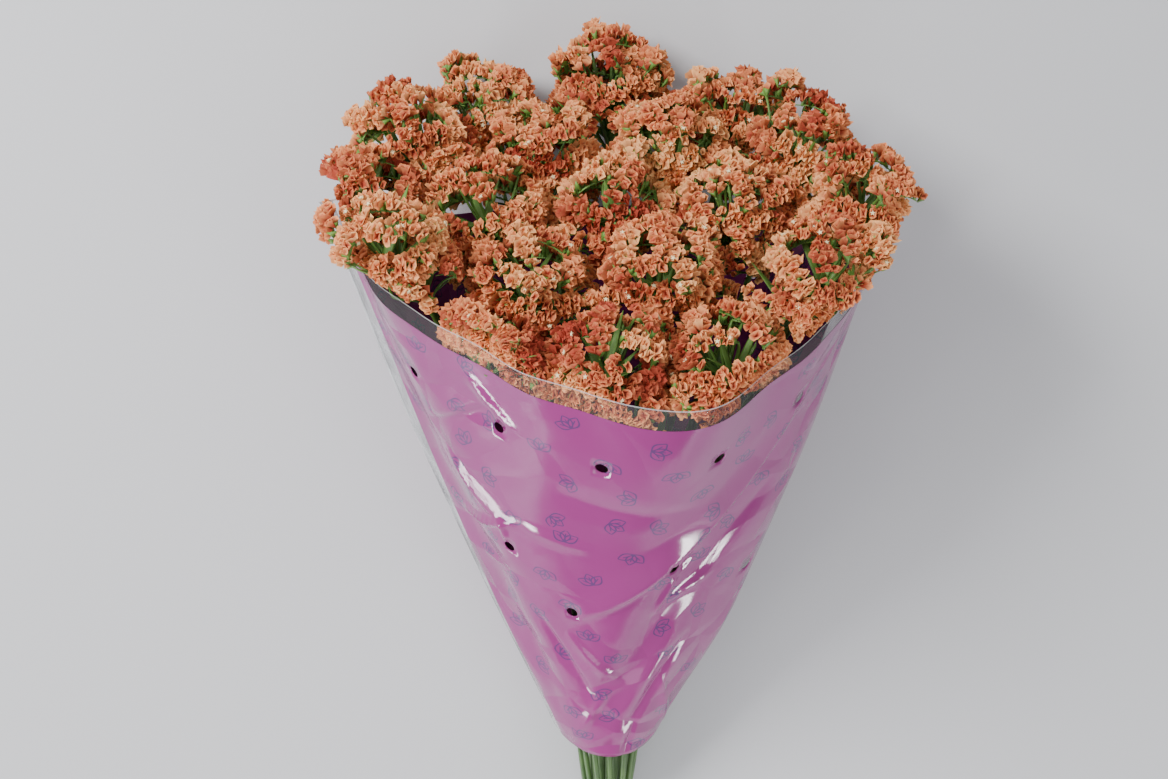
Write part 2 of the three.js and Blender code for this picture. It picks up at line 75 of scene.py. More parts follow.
def draw(first: Array | float, second: Array | float) -> Array:
    """Gives a repeatable number from 0 to 1: the fraction of a large sine of a weighted sum.

    Args:
        first: The piece's number.
        second: Which of its draws.

    Returns:
        The number, or one for each pair.
    """
    turned = np.asarray(first) * DRAW_WEIGHTS[0] + np.asarray(second) * DRAW_WEIGHTS[1] + DRAW_SHIFT
    value = np.sin(turned) * DRAW_STRETCH
    return value - np.floor(value)


def sway(first: Array | float, second: Array | float) -> Array:
    """Gives a repeatable number from -1 to 1."""
    return 2.0 * draw(first, second) - 1.0


def ease(x: Array | float, start: float, end: float) -> Array:
    """Rises from 0 at start to 1 at end along 3t^2 - 2t^3."""
    t = np.clip((np.asarray(x, float) - start) / (end - start), 0.0, 1.0)
    return t * t * (3.0 - 2.0 * t)


def unit(vectors: Array) -> Array:
    """Scales each vector to length 1."""
    return vectors / np.maximum(np.linalg.norm(vectors, axis=-1, keepdims=True), 1e-12)


def square_to(vectors: Array, axes: Array) -> Array:
    """Takes the part along each axis out of each vector, and scales what is left to length 1."""
    return unit(vectors - (vectors * axes).sum(-1, keepdims=True) * axes)


@dataclass
class MeshBuffer:
    """The points, faces and map coordinates of one mesh in the making."""

    points: list[Array] = field(default_factory=list)
    quads: list[Array] = field(default_factory=list)
    triangles: list[Array] = field(default_factory=list)
    maps: list[Array] = field(default_factory=list)
    count: int = 0

    def add(
        self, points: Array, maps: Array, quads: Array | None = None, triangles: Array | None = None
    ) -> None:
        """Adds points with their faces.

        Args:
            points: The points, n by 3, in millimetres from the apex.
            maps: Two map coordinates for each point.
            quads: Four-sided faces as numbers of these points.
            triangles: Three-sided faces as numbers of these points.
        """
        self.points.append(points.reshape(-1, 3))
        self.maps.append(maps.reshape(-1, 2))
        if quads is not None and len(quads):
            self.quads.append(quads.reshape(-1, 4) + self.count)
        if triangles is not None and len(triangles):
            self.triangles.append(triangles.reshape(-1, 3) + self.count)
        self.count += points.size // 3

    def add_tube(self, rings: Array, maps: Array) -> None:
        """Adds closed tubes: walls between neighbouring rings and a fan of faces over each end.

        Args:
            rings: The rings of each tube, tubes by rings by corners by 3, clockwise along the tube.
            maps: Two map coordinates for each point of the rings.
        """
        tubes, length, corners = rings.shape[:3]
        ends = np.stack([rings[:, 0].mean(1), rings[:, -1].mean(1)], 1)
        end_maps = np.stack([maps[:, 0].mean(1), maps[:, -1].mean(1)], 1)
        each = length * corners + 2
        points = np.concatenate([rings.reshape(tubes, -1, 3), ends], 1)
        coordinates = np.concatenate([maps.reshape(tubes, -1, 2), end_maps], 1)
        row, corner = np.meshgrid(np.arange(length - 1), np.arange(corners), indexing="ij")
        following = (corner + 1) % corners
        here, there = row * corners, (row + 1) * corners
        walls = np.stack([here + corner, there + corner, there + following, here + following], -1)
        ring = np.arange(corners)
        after = (ring + 1) % corners
        last = (length - 1) * corners
        first_lid = np.stack([np.full(corners, each - 2), ring, after], -1)
        last_lid = np.stack([np.full(corners, each - 1), last + after, last + ring], -1)
        start = (np.arange(tubes) * each)[:, None, None]
        quads = walls.reshape(1, -1, 4) + start
        lids = np.concatenate([first_lid, last_lid])[None] + start
        self.add(points, coordinates, quads, lids)

    def build(self, name: str, smooth: bool = True) -> bpy.types.Object:
        """Makes the mesh and its object, in the part's frame.

        Args:
            name: The piece's name.
            smooth: Whether its faces are shaded smooth.

        Returns:
            The new object, linked to the scene.
        """
        points = (np.concatenate(self.points) + ORIGIN_SHIFT) * MM
        coordinates = np.concatenate(self.maps)
        quads = np.concatenate(self.quads) if self.quads else np.zeros((0, 4), int)
        triangles = np.concatenate(self.triangles) if self.triangles else np.zeros((0, 3), int)
        corners = np.concatenate([quads.ravel(), triangles.ravel()])
        starts = np.concatenate([np.arange(len(quads)) * 4, quads.size + np.arange(len(triangles)) * 3])
        mesh = bpy.data.meshes.new(name)
        mesh.vertices.add(len(points))
        mesh.vertices.foreach_set("co", points.astype(np.float32).ravel())
        mesh.loops.add(len(corners))
        mesh.loops.foreach_set("vertex_index", corners.astype(np.int32))
        mesh.polygons.add(len(starts))
        mesh.polygons.foreach_set("loop_start", starts.astype(np.int32))
        mesh.polygons.foreach_set("use_smooth", np.full(len(starts), smooth))
        layer = mesh.uv_layers.new(name="piece_map")
        layer.data.foreach_set("uv", coordinates[corners].astype(np.float32).ravel())
        mesh.update(calc_edges=True)
        mesh.validate()
        made = bpy.data.objects.new(name, mesh)
        bpy.context.scene.collection.objects.link(made)
        return made


@dataclass(frozen=True)
class Fold:
    """A long soft fold: where it crosses mid height, how far it turns, how deep and how wide it is.

    It keeps one share of its depth low down and another at the rim.
    """

    middle: float
    turn: float
    depth: float
    width: float
    low: float = 1.0
    rim: float = 0.45


@dataclass(frozen=True)
class Crease:
    """A sharp crease of the front sheet, between two places across and above the hem, in mm.

    Its width is given on both sides, seen from the start: to the right first.
    """

    start: tuple[float, float]
    end: tuple[float, float]
    depth: float
    right: float
    left: float


@dataclass
class SleeveShape:
    """The film's surface: a cone whose two flat sheets meet at the apex, rolled flat underneath."""

    height: float = 510.0
    top_width: float = 712.0
    hem_width: float = 150.0
    seam_roll: float = 6.0 * DEG
    lying_half_angle: float = 25.0 * DEG
    folds: tuple[Fold, ...] = (
        Fold(34, 92, 7, 13),
        Fold(-64, -34, 6, 12),
        Fold(-14, 20, 4, 20),
        Fold(84, 16, -5, 14),
        Fold(-112, 12, 5, 16),
        Fold(126, -24, 5, 15),
        Fold(82, 0, -13, 26),
        Fold(-80, 0, -6, 24),
        Fold(9, 16, -26, 17, 0.06, 1.0),
        Fold(-38, 0, 15, 19, 0.12, 1.0),
    )
    creases: tuple[Crease, ...] = (
        Crease((190, 430), (-54, 192), -7.5, 34, 9),
        Crease((150, 330), (70, 245), 3.5, 22, 16),
        Crease((88, 244), (42, 220), -3.5, 9, 6),
        Crease((68, 278), (46, 254), 3.2, 8, 6),
        Crease((52, 264), (28, 206), -4.0, 10, 6),
        Crease((-180, 258), (-100, 312), -5.0, 9, 6),
        Crease((-119, 308), (-115, 274), -2.8, 6, 5),
        Crease((-152, 216), (-112, 240), -3.2, 7, 6),
        Crease((-104, 313), (-30, 304), -2.2, 14, 7),
        Crease((-210, 362), (-126, 450), 5.0, 30, 9),
        Crease((-160, 466), (-104, 428), -4.2, 12, 7),
        Crease((-186, 352), (-122, 298), -4.5, 11, 16),
        Crease((-70, 372), (60, 356), 2.4, 26, 22),
        Crease((-86, 196), (-20, 84), 3.6, 14, 8),
        Crease((-52, 176), (6, 112), -3.2, 12, 6),
        Crease((66, 168), (4, 30), 4.0, 14, 9),
        Crease((40, 120), (60, 10), -3.0, 9, 7),
        Crease((-10, 100), (-44, 2), -3.0, 10, 7),
        Crease((20, 60), (10, -4), 2.6, 8, 6),
    )
    lying_fade: Span = (125.0, 150.0)
    fold_rise: Span = (-0.02, 0.3)
    fold_top: float = 0.55
    front_fade: Span = (82.0, 96.0)
    crease_round: float = 0.04
    crease_power: float = 1.6
    crease_fade: float = 0.8
    fin: float = 13.0
    fin_width: float = 42.0
    fin_low: float = 0.35
    fin_rise: Span = (0.1, 0.8)
    rim_flare: float = 0.9
    rim_clear: float = 16.0
    floor_gap: float = 0.8
    press_rounds: int = 3

    def __post_init__(self) -> None:
        """Works out the cone's angles and directions from the sheets' sizes."""
        self.to_hem = self.height * self.hem_width / (self.top_width - self.hem_width)
        self.sheet_half = math.atan(self.top_width / 2 / (self.to_hem + self.height))
        self.cone_half = math.asin(4 * self.sheet_half / (2 * math.pi))
        self.lean = math.atan(math.cos(self.lying_half_angle) * math.tan(self.cone_half))
        self.axis = np.array([0.0, math.cos(self.lean), math.sin(self.lean)])
        self.up = np.array([0.0, -math.sin(self.lean), math.cos(self.lean)])

    def wrap(self, angle: Array) -> Array:
        """Turns an angle into the range from -pi to pi."""
        return np.arctan2(np.sin(angle), np.cos(angle))

    def sheet_angle(self, azimuth: Array) -> Array:
        """Gives the angle round its own flat sheet, from the sheet's middle line, without its sign."""
        turned = np.abs(self.wrap(azimuth - self.seam_roll))
        return np.minimum(turned, math.pi - turned) / (math.pi / 2) * self.sheet_half

    def edge_distance(self, share: Array | float, azimuth: Array) -> Array:
        """Gives the distance from the apex to a line across the sheets: share 0 is the hem, 1 the top."""
        return (self.to_hem + np.asarray(share) * self.height) / np.cos(self.sheet_angle(azimuth))

    def height_share(self, distance: Array, azimuth: Array) -> Array:
        """Gives how far up its sheet a place is: 0 at the hem and 1 at the top."""
        return (distance * np.cos(self.sheet_angle(azimuth)) - self.to_hem) / self.height

    def fold_depth(self, distance: Array, azimuth: Array) -> Array:
        """Adds up the folds: a bell curve across each, faded at the two ends and on the underside.

        Args:
            distance: The distances from the apex.
            azimuth: The turns round the axis, from straight up.

        Returns:
            How far the film is moved in or out, in mm.
        """
        share = self.height_share(distance, azimuth)
        degrees = self.wrap(azimuth) / DEG
        lying = 1 - ease(np.abs(degrees), *self.lying_fade)
        rising, topmost = ease(share, *self.fold_rise), ease(share, self.fold_top, 1)
        total = np.zeros(np.broadcast(distance, azimuth).shape)
        for fold in self.folds:
            off = (degrees - fold.middle - fold.turn * (share - 0.5)) / fold.width
            along = rising * (fold.low + (fold.rim - fold.low) * topmost)
            total -= fold.depth * lying * along * np.exp(-off * off)
        return total

    def crease_depth(self, distance: Array, azimuth: Array) -> Array:
        """Adds up the creases: a sharp roof across each line, faded towards the line's two ends.

        Args:
            distance: The distances from the apex.
            azimuth: The turns round the axis, from straight up.

        Returns:
            How far the film is moved in or out, in mm.
        """
        turned = self.wrap(azimuth - self.seam_roll)
        angle = turned / (math.pi / 2) * self.sheet_half
        x, y = distance * np.sin(angle), distance * np.cos(angle) - self.to_hem
        front = 1 - ease(np.abs(turned) / DEG, *self.front_fade)
        total = np.zeros(np.broadcast(distance, azimuth).shape)
        for crease in self.creases:
            (x0, y0), (x1, y1) = crease.start, crease.end
            length = math.hypot(x1 - x0, y1 - y0)
            tx, ty = (x1 - x0) / length, (y1 - y0) / length
            t = ((x - x0) * tx + (y - y0) * ty) / length
            side = (x - x0) * ty - (y - y0) * tx
            off = np.abs(side) / np.where(side > 0, crease.right, crease.left)
            rounded = np.sqrt(off * off + self.crease_round * self.crease_round)
            roof = np.maximum(0, 1 + self.crease_round - rounded) ** self.crease_power
            total -= crease.depth * roof * np.sin(math.pi * np.clip(t, 0, 1)) ** self.crease_fade
        return total * front

    def fin_depth(self, distance: Array, azimuth: Array) -> Array:
        """Gives the fins at the two welds: a parabola that rises to the weld, lower towards the hem.

        Args:
            distance: The distances from the apex.
            azimuth: The turns round the axis, from straight up.

        Returns:
            How far the film is moved out, in mm.
        """
        share = self.height_share(distance, azimuth)
        turned = np.abs(self.wrap(azimuth - self.seam_roll))
        from_weld = np.abs(turned - math.pi / 2) * distance * math.sin(self.cone_half)
        fin = self.fin * (self.fin_low + (1 - self.fin_low) * ease(share, *self.fin_rise))
        return fin * np.maximum(0, 1 - from_weld / self.fin_width) ** 2

    def polar_point(self, distance: Array, polar: Array, azimuth: Array) -> Array:
        """Turns a distance from the apex, an angle off the axis and an azimuth into a point.

        Args:
            distance: The distances from the apex.
            polar: The angles off the axis.
            azimuth: The turns round the axis, from straight up.

        Returns:
            The points.
        """
        radial = np.cos(azimuth)[..., None] * self.up + np.sin(azimuth)[..., None] * SIDE
        axial, outward = distance * np.cos(polar), distance * np.sin(polar)
        return axial[..., None] * self.axis + outward[..., None] * radial

    def film_point(self, distance: Array, azimuth: Array, ripple: Array) -> Array:
        """Gives points on the film's outer face: the cone with its folds, flat where it lies.

        Args:
            distance: The distances from the apex.
            azimuth: The turns round the axis, from straight up.
            ripple: What is added to the folds, in mm.

        Returns:
            The points.
        """
        bulge = self.fold_depth(distance, azimuth) + self.crease_depth(distance, azimuth) + ripple
        bulge = bulge + self.fin_depth(distance, azimuth)
        points = self.polar_point(distance, self.cone_half + bulge / distance, azimuth)
        points[..., 2] = np.maximum(points[..., 2], 0.0)
        return points

    def press(self, points: Array, clear: float, planes: Array | None = None, gap: float = 0.0) -> Array:
        """Presses points behind planes through the apex, and inside the film or its flare past the rim.

        Args:
            points: The points.
            clear: How far inside the film they stay.
            planes: The planes' outward directions, or none.
            gap: How far behind the planes they stay.

        Returns:
            The moved points.
        """
        moved = points.copy()
        for _ in range(self.press_rounds):
            for normal in planes if planes is not None else ():
                over = np.maximum(moved @ normal + gap, 0)
                moved -= over[..., None] * normal
            distance = np.maximum(np.linalg.norm(moved, axis=-1), 1.0)
            azimuth = np.arctan2(moved @ SIDE, moved @ self.up)
            rim = self.edge_distance(1.0, azimuth)
            overhang = self.rim_flare * np.maximum(0, distance - rim - self.rim_clear)
            inside = np.minimum(distance, rim)
            bulge = self.fold_depth(inside, azimuth) + np.minimum(self.crease_depth(inside, azimuth), 0)
            most = self.cone_half + (bulge + overhang - clear) / distance
            polar = np.arccos(np.clip(moved @ self.axis / distance, -1, 1))
            pressed = self.polar_point(distance, most, azimuth)
            moved = np.where((polar > most)[..., None], pressed, moved)
            lowest = np.where(overhang > 0, self.floor_gap, clear)
            moved[..., 2] = np.maximum(moved[..., 2], lowest)
        return moved


@dataclass(frozen=True)
class StemPlace:
    """One stem's place: its number, its place in the pack at the tie, and its flower head's direction."""

    number: int
    across: float
    rise: float
    aside_slope: float
    above_slope: float
    reach: float

    @property
    def label(self) -> str:
        """The stem's two-figure number."""
        return f"{self.number:02d}"


@dataclass
class BunchPlan:
    """How the stems fan out from the tie to the flower heads, in numbers shared with the solids."""

    sleeve: SleeveShape
    rows: tuple[tuple[tuple[float, float, float], ...], ...] = (
        ((-9.5, -12.6, 776), (0.0, -13.0, 796), (9.2, -12.4, 770)),
        ((-14.2, -6.0, 786), (-5.2, -6.8, 750), (4.2, -6.2, 758), (13.4, -5.8, 780)),
        ((-17.0, 0.8, 772), (-9.0, 0.4, 738), (0.2, 0.0, 732), (8.6, 0.8, 742), (17.4, 1.8, 778)),
        ((-15.0, 8.6, 774), (-6.4, 7.6, 712), (3.6, 7.4, 718), (14.6, 8.8, 752)),
        ((-9.8, 14.6, 704), (-0.6, 15.0, 692), (8.8, 14.6, 702)),
    )
    pitch: float = 5.6
    bundle_height: float = 16.0
    bundle_ease: float = 8.0
    lower_fan: float = 0.62
    twist: float = -24.0 * DEG
    untwisted: float = 520.0
    fan_opens: Span = (300.0, 800.0)
    rises: Span = (40.0, 200.0)
    loosens: Span = (20.0, 160.0)
    loosened: float = 0.6
    sag: float = 33.2
    sag_from: float = 60.0
    sag_at: float = 270.0
    fork_below: float = 118.0
    hub_below: float = 80.0

    def places(self) -> list[StemPlace]:
        """Lists every stem's place, row by row from the underside up.

        Returns:
            The places.
        """
        found = [
            (n - (len(heads) - 1) / 2, (row - 2) * math.sqrt(0.75), *head)
            for row, heads in enumerate(self.rows)
            for n, head in enumerate(heads)
        ]
        return [
            StemPlace(n + 1, across, rise, math.tan(aside * DEG), math.tan(above * DEG), reach)
            for n, (across, rise, aside, above, reach) in enumerate(found)
        ]

    def middle_line(self, along: Array) -> Array:
        """Gives the bunch's middle line: level at the tie, then up the sleeve's axis less a sag.

        Args:
            along: How far along the sleeve's axis each point is, in mm.

        Returns:
            The points.
        """
        height = along * math.sin(self.sleeve.lean)
        soft = np.log1p(np.exp((self.bundle_height - height) / self.bundle_ease))
        sinking = ease(along, self.sag_from, self.sag_at)
        sag = self.sag * sinking * (1 - ease(along, self.sag_at, 2 * self.sag_at))
        z = height + self.bundle_ease * soft - sag
        return np.stack([np.zeros_like(along), along * math.cos(self.sleeve.lean), z], -1)

    def stem_points(self, place: StemPlace, along: Array) -> Array:
        """Gives a stem's centre line: its twisted place in the pack plus its widening fan.

        Args:
            place: The stem's place.
            along: How far along the bunch each point is, in mm.

        Returns:
            The points.
        """
        along = np.asarray(along, float)
        opening = self.lower_fan + (1 - self.lower_fan) * ease(along, *self.fan_opens)
        fan = np.maximum(along, 0) * opening
        twist = self.twist * (1 - ease(along, 0, self.untwisted))
        across = place.across * np.cos(twist) - place.rise * np.sin(twist)
        rise = place.across * np.sin(twist) + place.rise * np.cos(twist)
        level = ease(along, *self.rises)[:, None]
        upward = unit(np.array([0.0, 0.0, 1.0]) * (1 - level) + self.sleeve.up * level)
        pack = self.pitch * (1 - self.loosened * ease(along, *self.loosens))
        aside = pack * across + fan * place.aside_slope
        above = pack * rise + fan * place.above_slope
        return self.middle_line(along) + aside[:, None] * SIDE + above[:, None] * upward

    def direction(self, place: StemPlace) -> Array:
        """Gives the direction in which a stem's flower head lies from the apex."""
        sleeve = self.sleeve
        return unit(sleeve.axis + place.aside_slope * SIDE + place.above_slope * sleeve.up)

    def fork_along(self, place: StemPlace) -> float:
        """Gives how far along the bunch a stem forks into the branches of its head."""
        return (place.reach - self.fork_below) * float(self.direction(place) @ self.sleeve.axis)

    def planes(self, place: StemPlace, places: list[StemPlace]) -> Array:
        """Gives the outward directions of the planes midway between a head and the others."""
        own = self.direction(place)
        return np.array([unit(self.direction(other) - own) for other in places if other is not place])


class Chance(IntEnum):
    """Which of a piece's repeatable draws is meant."""

    SENSE = 5
    COMB_TURN = 6
    COMB_POLAR = 7
    COMB_SLANT = 8
    COMB_HEIGHT = 9
    WING_TURN = 20
    WING_PHASE = 21
    COMB_TINT = 31
    WHORL_TURN = 49
    LEAF_TURN = 50
    LEAF_REACH = 51
    LEAF_SPREAD = 52
    LEAF_WIDTH = 53


@dataclass(frozen=True)
class CombPlace:
    """A comb: the middle of its arched spine, the way it runs, the way its florets face, its size."""

    key: int
    middle: Array
    heading: Array
    normal: Array
    spread: float
    rows: int
    from_fork: bool = False


@dataclass(frozen=True)
class Florets:
    """Many florets of one comb: where each starts, its directions, its length, its mouth, its tint."""

    base: Array
    axis: Array
    along: Array
    length: Array
    mouth: Array
    tint: Array

    def every(self, chosen: Array) -> "Florets":
        """Keeps the chosen florets."""
        parts = (self.base, self.axis, self.along, self.length, self.mouth, self.tint)
        return Florets(*(part[chosen] for part in parts))


# Sprays that stand out of the bunch: their stem's number and the middle of the spray, in mm.
SPRAYS: tuple[tuple[int, tuple[float, float, float]], ...] = (
    (2, (-17, 790, 50)),
    (2, (40, 768, 78)),
    (2, (-48, 766, 84)),
    (3, (80, 752, 84)),
    (7, (153, 754, 112)),
    (7, (188, 724, 200)),
    (12, (240, 676, 284)),
    (12, (196, 704, 258)),
    (16, (221, 642, 312)),
    (13, (-233, 660, 315)),
    (13, (-212, 646, 352)),
    (4, (-196, 746, 132)),
    (4, (-211, 726, 176)),
    (1, (-139, 763, 40)),
    (8, (-218, 690, 262)),
    (1, (-96, 752, 70)),
)


@dataclass(frozen=True)
class FillingRule:
    """How the smaller combs are set over a head's dome: their number, the directions tried, and sizes."""

    count: int = 11
    directions: int = 240
    span: Span = (20.0 * DEG, 108.0 * DEG)
    taken_ends: float = 1.2
    taken_drop: float = 6.0
    upward: float = 0.7
    radius: Span = (-8.0, 10.0)
    side_radius: float = 13.0
    side_drop: float = 8.0
    toward_normal: float = 0.75
    toward_out: float = 0.5
    loose: float = 0.2
    spread: Span = (0.48, 0.9)
    rows: int = 3
    low: float = 0.4


@dataclass(frozen=True)
class CornerRule:
    """How the deep combs are set in the corners between a head and its neighbours."""

    count: int = 4
    directions: int = 48
    above_hub: float = 10.0
    least_toward: float = 0.05
    widest: float = 62.0
    upward: float = 1.2
    share: float = 0.8
    shift: Span = (-4.0, 2.0)
    apart: float = 38.0 * DEG
    outward: float = 0.35
    loose: float = 0.15
    spread: float = 0.72
    rows: int = 3


@dataclass(frozen=True)
class SprayRule:
    """How the combs of a spray are set: how far aside and back each is, its spread and its rows."""

    combs: tuple[tuple[float, float, float, int], ...] = ((0.0, 9.0, 0.7, 4), (11.0, 19.0, 0.52, 3))
    turned: float = 0.55
    first_key: int = 9000


@dataclass(frozen=True)
class FloretRule:
    """How florets stand in rows along a comb: lengths in mm, jitters in degrees or shares."""

    stalk: float = 3.4
    pitch: float = 5.3
    length: float = 10.2
    mouth: float = 5.2
    fewest: int = 4
    wide_lean: float = 46.0 * DEG
    narrow_lean: float = 33.0 * DEG
    lean_degrees: float = 13.0
    place_jitter: float = 0.25
    tangent_jitter: Span = (-0.25, 0.35)
    fanned: float = 0.9
    clump: float = 0.16
    clump_turn: float = 1.25
    clump_key: float = 3.1
    clump_row: float = 0.8
    taper: float = 0.22
    stalk_range: Span = (0.6, 1.25)
    length_range: Span = (0.85, 1.12)
    mouth_range: Span = (0.82, 1.2)
    film_clear: float = 3.2
    plane_gap: float = -1.5
    least_room: float = 0.6
    least_stalk: float = 0.3
    # A comb's tint sets its calyces between deep coral and pale cream: partly their own tone, partly painted
    # shade and light.
    tint_middle: float = 0.5
    tint_comb: float = 0.44
    tint_floret: float = 0.12
    tint_range: Span = (0.02, 0.98)


@dataclass(frozen=True)
class CalyxForm:
    """A calyx's rings, up the outside, over the rim and inside, as shares of its mouth and length.

    Each ring also has how rough it is, and the shade that its finish reads: its place on the colour ramp,
    which is darker coral low down and on the hollow's floor, partly as painted shade, and cream at the rim,
    partly as painted light. The last two points close the foot and the hollow.
    """

    corners: int = 8
    radii: tuple[float, float, float] = (0.50, 1.0, 0.42)
    rises: tuple[float, float, float] = (0.52, 1.0, 0.82)
    rough: tuple[float, float, float] = (0.4, 1.0, 0.8)
    # Ramp places: cream at the rim, coral low down and on the hollow's floor; partly the calyx's own colour,
    # partly painted light and shade.
    shades: tuple[float, float, float] = (0.55, 1.0, 0.56)
    pole_rises: Span = (0.0, 0.58)
    pole_shades: Span = (0.0, 0.28)
    flat: float = 0.62
    zigzag: Span = (0.35, 1.0)
    wave_zigzag: float = 0.20
    wave_loose: float = 0.13
    lift_zigzag: float = 0.13
    lift_loose: float = 0.11


@dataclass(frozen=True)
class BractForm:
    """A four-sided cup with two pointed tips, as shares of its calyx's mouth and length."""

    every: int = 3
    tipped: tuple[float, float, float, float] = (0.0, 1.0, 0.0, 1.0)
    rises: tuple[float, float, float] = (-0.4, 0.14, 0.36)
    radii: tuple[float, float, float] = (0.2, 0.52, 0.56)
    tip_rise: float = 0.40
    tip_radius: float = 0.30
    size_range: Span = (0.85, 1.2)
    flat: float = 0.9
    turned: float = 0.3


@dataclass(frozen=True)
class CorollaForm:
    """A small open flower of five pointed petals in a calyx's mouth: radii in mm, rises as shares."""

    share: float = 0.03
    points: int = 10
    throat: float = 0.3
    radii: Span = (2.6, 2.5)
    notch: float = 1.6
    rises: tuple[float, float, float] = (0.55, 1.02, 1.05)
    tint: float = 0.99
    shade: float = 1.6


@dataclass(frozen=True)
class BranchForm:
    """A head's green branches: half widths in mm, and how each runs from its root to its comb."""

    trunk: Span = (2.7, 2.1)
    trunk_sections: int = 6
    trunk_sides: int = 6
    past_hub: float = 6.0
    trunk_shade: float = 0.35
    root: float = 2.0
    comb: float = 1.5
    tip: float = 0.7
    sections: int = 7
    sides: int = 4
    hub_share: float = 0.35
    spine_share: float = 0.65
    lead_back: float = 5.0
    reaches: float = 0.92
    film_clear: float = 5.0
    tint: float = 0.4
    shades: Span = (0.1, 0.5)


@dataclass(frozen=True)
class LeafForm:
    """The leaves at a head's fork: lengths and half widths in mm, each with the range of its draw."""

    count: int = 24
    sections: int = 8
    sides: int = 6
    first: float = 0.1
    step: float = 0.055
    turn: float = 2.4
    turn_draw: float = 0.5
    reach: Span = (44.0, 20.0)
    spread: Span = (0.5, 0.7)
    rise: float = 0.5
    curl: float = 1.2
    half: Span = (2.6, 3.4)
    tip: float = 0.25
    root: float = 0.06
    widest: float = 0.75
    flat: float = 0.12
    film_clear: float = 9.0
    plane_gap: float = 1.0
    edge_clear: float = 2.0
    tint: float = 0.5
    shades: Span = (0.0, 0.6)


